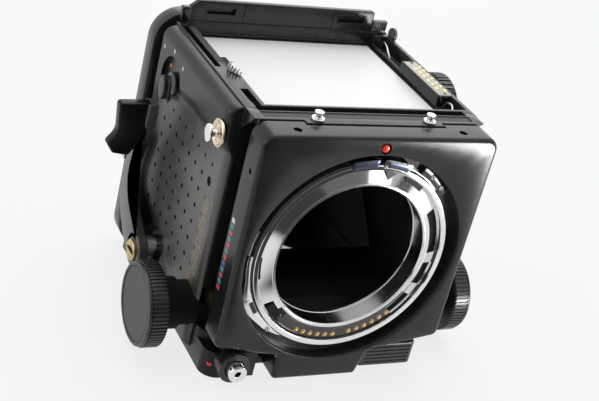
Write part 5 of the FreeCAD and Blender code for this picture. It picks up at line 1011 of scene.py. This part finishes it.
def contact_strip():
    """Plate beside the well with two staggered columns of contacts."""
    mesh = bmesh.new()
    block(mesh, (42.5, -12.8, 104.0), (48.9, 19.6, 109.4), 0.2)
    block(mesh, (42.7, -12.6, 109.4), (48.8, 19.4, 110.0), 0.15, slot=1)
    for along in (-11.2, 18.0):
        drum(mesh, "Z", (46.1, along), 0.7, 109.9, 110.02, steps=20, slot=2)
    piece("contact_strip", mesh, [GLOSS_BLACK, BEIGE, INNER_BLACK], "root",
          ("finder_contact_block",))
    mesh = bmesh.new()
    pitch = 3.72
    places = [(48.0, -8.0 + row * pitch) for row in range(7)]
    places += [(45.1, -6.14 + row * pitch) for row in range(6)]
    for centre in places:
        turned(mesh, "Z", centre, [(0.0, 110.3), (0.45, 110.27), (0.7, 110.15), (0.8, 110.0), (0.0, 110.0)],
               20, closed=False)
    piece("finder_contact_domes", mesh, GOLD, "root", ("finder_contacts",))


def spring_wire(name, points, radius, finish):
    """Bent round wire through points in millimetres."""
    curve = bpy.data.curves.new(name, "CURVE")
    curve.dimensions = "3D"
    curve.bevel_depth = radius * MM
    curve.bevel_resolution = 4
    line = curve.splines.new("NURBS")
    line.points.add(len(points) - 1)
    for point, place in zip(line.points, points):
        point.co = (*at(*place), 1.0)
    line.order_u = 3
    line.use_endpoint_u = True
    curve.materials.append(finish)
    wire = placed(name, curve)
    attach(wire, "root")
    return wire


def spring_wires():
    """Bent springs in pockets and trough beside the well; one on the camera's right rail ends in a coil."""
    coil = []
    for step in range(25):
        share, turn = step / 24, math.pi * step / 4
        swing = math.cos(turn)
        coil.append((-43.9 + 2.5 * share + 0.94 * swing, 2.2 - 4.2 * share + 0.56 * swing,
                     111.3 + 1.1 * math.sin(turn)))
    springs = (("front_right_spring", [(45.3, -13.6, 105.3), (45.0, -14.4, 107.6), (44.3, -18.5, 109.2),
                                       (43.6, -21.4, 109.9), (42.9, -23.6, 108.9), (42.2, -25.3, 107.0)]),
               ("rear_right_spring", [(45.4, 43.8, 104.4), (45.3, 43.4, 107.6), (44.6, 41.5, 109.3),
                                      (43.6, 37.0, 109.4), (42.9, 33.5, 108.4), (43.3, 31.0, 106.0)]),
               ("front_left_spring", [(-43.9, -25.4, 105.2), (-43.9, -25.2, 107.9), (-43.9, -23.8, 108.6),
                                      (-43.9, -19.5, 108.2), (-43.9, -14.6, 105.2)]),
               ("rear_left_spring", [(-42.8, 2.6, 114.3), (-43.9, 2.2, 114.0), (-44.7, 1.8, 113.0),
                                     (-44.9, 1.6, 111.6), (-44.8, 1.9, 109.6)] + coil))
    for number, (name, points) in enumerate(springs):
        wire = spring_wire(name, points, 0.36 if name == "rear_left_spring" else 0.42,
                           BLUED if name == "front_left_spring" else STEEL)
        if number == 0:
            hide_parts("screen_clips")


def rear_bar_front():
    """Bar behind the well with its step, seams, deep slots and end blocks."""
    mesh = bmesh.new()
    outline = eased([(-44.8, 105.7, 0.4), (49.4, 105.7, 0.4), (49.4, 110.4, 0.5), (-44.8, 110.4, 0.5)], 3)
    slab(mesh, "Y", outline, 48.5, 51.5, 0.3, 0.3, 3)
    outline = eased([(-44.8, 110.42, 0.5), (41.5, 110.42, 0.5), (41.5, 119.5, 1.2), (-40.5, 119.5, 1.0),
                     (-44.8, 116.0, 1.0)], 4)
    slab(mesh, "Y", outline, 49.0, 51.5, 0.35, 0.35, 3)
    made = piece("rear_bar_body", mesh, FRAME_BLACK, "root", ("rear_bar",))
    holes = bmesh.new()
    for side in (-1, 1):
        low, high = sorted((side * 24.2, side * 36.8))
        block(holes, (low, 48.0, 114.0), (high, 50.6, 116.8))
    for x in (-20.2, 21.7):
        block(holes, (x - 0.2, 48.0, 110.7), (x + 0.2, 49.3, 120.0))
    block(holes, (25.9, 48.0, 111.0), (38.6, 49.6, 112.1))
    block(holes, (-44.0, 48.0, 110.15), (41.0, 48.9, 110.6))
    carve(made, holes)
    mesh = bmesh.new()
    for side in (-1, 1):
        low, high = sorted((side * 23.6, side * 37.4))
        outer = plate(low, 113.4, high, 117.4, 0.5)
        inner = plate(low + 0.6, 114.0, high - 0.6, 116.8, 0.3)
        skin(mesh, [[(a, 49.0, u) for a, u in outer], [(a, 48.75, u) for a, u in shrunk(outer, 0.12)],
                    [(a, 48.75, u) for a, u in inner], [(a, 50.5, u) for a, u in inner]], caps=False)
    piece("catch_slot_frames", mesh, FRAME_BLACK, "root")
    mesh = bmesh.new()
    block(mesh, (-47.6, 48.8, 110.0), (-43.4, 51.4, 116.4), 0.5)
    piece("bar_end_block", mesh, GLOSS_BLACK, "root")


def release_slider():
    """Ribbed knob at the bar's end on the camera's left, and the round tab beside it."""
    mesh = bmesh.new()
    start, front, long = 42.0, 49.0, 7.1
    block(mesh, (start, front, 111.0), (start + long, 51.5, 115.3), 0.45)
    for number in range(6):
        x = start + long * number / 6
        block(mesh, (x + 0.1, front - 0.5, 111.3), (x + 0.62, front + 0.3, 115.0), 0.18)
        block(mesh, (x + 0.1, front + 0.2, 115.1), (x + 0.62, 51.2, 115.29), 0.06)
    block(mesh, (start, front, 110.55), (start + long * 0.6, 51.4, 111.2), 0.1)
    piece("finder_release_slider", mesh, GREY_PLASTIC, "finder_release_knob",
          ("finder_release_knob",))
    mesh = bmesh.new()
    skin(mesh, [fluted((45.0, 111.2), radius, along, 22, 4, groove, 1.0, 0.25) for radius, along, groove in (
        (2.5, 49.78, 0.0), (2.8, 49.95, 0.11), (2.98, 50.15, 0.22), (2.98, 50.9, 0.22), (2.8, 51.1, 0.11),
        (2.5, 51.24, 0.0))])
    piece("round_tab", mesh, GREY_PLASTIC, "root", sharp=24.0)


def plain_edges():
    """Cast pieces that keep the CAD form, with their long edges rounded."""
    for node, name, finish, body, slot, width in (
            ("top_frame", "top_frame_cast", FRAME_BLACK, "root", "cast_black", 0.25),
            ("finder_shelf", "finder_shelf_cast", FRAME_BLACK, "root", "cast_black", 0.25),
            ("base_casting", "base_cast", BASE_BLACK, "root", "cast_black", 0.35),
            ("left_cover", "left_side_shell", SHELL_BLACK, "root", "body_black", 0.5),
            ("revolving_adapter", "adapter_cast", FRAME_BLACK, "revolving_adapter", "cast_black", 0.8),
            ("accessory_shoe", "shoe_chrome", STEEL, "root", "chrome", 0.15),
            ("focus_lock", "focus_lock_lever", KNOB_BLACK, "focus_lock", "knob_black", 0.4),
            ("release_collar", "release_collar_ring", FRAME_BLACK, "release_collar", "cast_black", 0.3)):
        softened(node, name, finish, body, width)


def screen_painted_glow():
    """Painted glow under the focusing screen: a sheet that emits light, standing in for the light that passes
    through the screen into the mirror box.
    """
    low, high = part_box("focusing_screen")
    glow = surface("screen_painted_glow", (0.80, 0.80, 0.79), 0.6)
    inputs = principled(glow).inputs
    # Painted light: the sheet glows though it is no lamp
    inputs["Emission Color"].default_value = colour(0.95, 0.95, 0.93)
    inputs["Emission Strength"].default_value = 0.45
    mesh = bmesh.new()
    left, front, right, back = (value / MM for value in (low[0], low[1], high[0], high[1]))
    under = low[2] / MM
    block(mesh, (left + 4.0, front + 4.0, under - 0.15), (right - 4.0, back - 4.0, under - 0.02), 0.05)
    piece("screen_underside_painted_glow", mesh, glow, "root")


def rim_trim():
    """Ribbed strip on the camera's right rail, lip ahead of the well and a dark matte strip in the shallow
    groove.
    """
    mesh = bmesh.new()
    block(mesh, (-45.5, 10.0, 109.8), (-43.1, 44.0, 110.06), 0.08)
    ribs, pitch = 42, 0.8
    for number in range(ribs):
        along = 10.4 + number * pitch
        block(mesh, (-45.4, along, 110.0), (-43.2, along + pitch / 2, 110.18), 0.07)
    piece("rail_ribbed_strip", mesh, FRAME_BLACK, "root")
    mesh = bmesh.new()
    block(mesh, (-40.4, -26.7, 109.5), (47.6, -26.0, 110.10), 0.15)
    piece("well_front_lip", mesh, GREY_PLASTIC, "root")
    mesh = bmesh.new()
    # Dark matte cloth strip along the shallow groove, darker than the shelf around it
    block(mesh, (-44.9, -35.8, 109.2), (44.9, -31.6, 109.6), 0.1)
    piece("shelf_dark_strip", mesh, CLOTH, "root")


def release_button():
    """Turned button with a bore for a cable release."""
    mesh = bmesh.new()
    profile = [(1.2, -46.6), (1.2, -54.6), (1.45, -54.95), (3.2, -55.0), (3.6, -54.85), (3.7, -54.5),
               (3.7, -41.0), (0.0, -41.0), (0.0, -46.6)]
    turned(mesh, "Y", (-40.0, 8.6), profile, 64, closed=False)
    piece("release_button_chrome", mesh, CHROME, "release_button", ("release_button",))


def battery_door():
    """Door with a rounded outer edge and grip grooves across its front."""
    mesh = bmesh.new()
    low, high, lands, half_groove = 0.8, 11.4, 6, 0.35
    outline = eased([(20.0, -42.0, 0.1), (20.0, -45.0, 0.6), (45.0, -45.0, 2.4), (45.0, -42.0, 0.1)], 6)
    slab(mesh, "Z", anticlockwise(outline), low, high, 0.4, 0.8, 4)
    made = piece("battery_door", mesh, KNOB_BLACK, "battery_cover", ("battery_cover",))
    holes = bmesh.new()
    for number in range(1, lands):
        level = low + (high - low) * number / lands
        block(holes, (22.0, -46.0, level - half_groove), (42.5, -44.5, level + half_groove))
    carve(made, holes)


def speed_dial_wheel():
    """Coarsely ribbed dial with a disc that carries plain ticks."""
    mesh = bmesh.new()
    skin(mesh, [fluted(DIAL, radius, along, 44, 6, groove, 0.66) for radius, along, groove in (
        (13.0, 61.5, 0.0), (14.0, 61.5, 0.0), (14.9, 61.1, 0.0), (15.4, 60.6, 0.7), (15.5, 60.2, 0.7),
        (15.5, 55.0, 0.7), (15.2, 54.4, 0.7), (14.6, 54.3, 0.0))])
    piece("speed_dial_wheel", mesh, KNOB_BLACK, "speed_dial", ("speed_dial",), sharp=24.0)
    mesh = bmesh.new()
    drum(mesh, "X", DIAL, 9.5, 61.4, 61.6, 0.05, 64)
    outer, inner, lean_out, lean_in = 12.6, (11.0, 11.6, 11.6, 11.6), 0.012, 0.014
    for number in range(16):
        turn, low = 2 * math.pi * number / 16, inner[number % 4]
        points = [(DIAL[0] + reach * math.cos(turn + lean), DIAL[1] + reach * math.sin(turn + lean))
                  for reach, lean in ((outer, lean_out), (low, lean_in), (low, -lean_in), (outer, -lean_out))]
        slab(mesh, "X", anticlockwise(points), 61.48, 61.52, slot=1)
    piece("speed_dial_face", mesh, [CHARCOAL, WHITE_MARK], "speed_dial", ("dial_disc",))


def painted_ticks():
    """Plain ticks where the side cover and the panel's edge carry scales."""
    mesh = bmesh.new()

    def tick(y, z, long, high, slot, x=DISH_FACE):
        slab(mesh, "X", [(y, z), (y + long, z), (y + long, z + high), (y, z + high)], x - 0.03, x + 0.02,
             slot=slot)

    for number in range(26):
        tick(-26.2, 31.0 + number * 1.45, 2.2 if number % 5 == 0 else 1.2, 0.22, 0)
    for number in range(6):
        for step in range(14):
            tick(-23.2 + number * 1.1 + step * (0.12 - number * 0.02), 33.0 + step * 2.4, 0.3, 1.9, 0)
    for number in range(5):
        for step in range(3):
            tick(-22.6 + number * 1.5, 27.2 + step * 1.7, 0.9, 0.9, 1)
    piece("side_cover_ticks", mesh, [CREAM_MARK, AMBER_MARK], "root")
    mesh = bmesh.new()
    for number, paint in enumerate((0, 1, 2, 1, 2, 1, 2, 3, 1, 2, 1, 2)):
        tick(-42.3 + 0.02 * number, 68.6 - number * 2.65, 2.6, 2.0, paint, x=-50.0)
    piece("panel_edge_marks", mesh, [WHITE_MARK, TEAL_MARK, PINK_MARK, BLUE_MARK], "front_standard")
    mesh = bmesh.new()
    for y, z in ((41.5, 100.8), (30.6, 103.4), (19.5, 101.1)):
        tick(y, z, 1.1, 1.6, 0, x=-55.0)
    piece("lever_position_ticks", mesh, WHITE_MARK, "root")
    mesh = bmesh.new()
    for step in range(2):
        tick(SHAFT[0] + 8.3, 33.0 + step, 0.4, 1.3, 0)
    piece("knob_index_mark", mesh, WHITE_MARK, "root")


for build in (studio, lens_panel, index_mark, mount_rings, mount_lugs, mount_fittings,
              panel_screw_heads, bellows_folds, right_shell, focusing_knobs, knob_faces,
              cocking_arm, cocking_grip, multi_lever, strap_lugs, finder_stud_pair, contact_strip,
              spring_wires, rear_bar_front, release_slider, plain_edges, screen_painted_glow, rim_trim,
              release_button, battery_door, speed_dial_wheel, painted_ticks):
    build()

for node, finish in (
        ("mirror_box", INNER_BLACK), ("tripod_bush", STEEL), ("base_screws", STEEL),
        ("screen_frame", FRAME_BLACK), ("focusing_screen", SCREEN_WHITE), ("mirror_pin", STEEL),
        ("release_dot", RED), ("battery", STEEL), ("remote_socket", STEEL), ("revolving_ring", FRAME_BLACK),
        ("right_rack", BRASS), ("left_rack", BRASS), ("pinions", BRASS), ("focus_shaft", STEEL),
        ("focus_bushes", INNER_BLACK), ("mirror", SILVERED), ("mirror_tray", INNER_BLACK),
        ("right_back_lock", STEEL), ("left_back_lock", STEEL)):
    dress(node, finish)
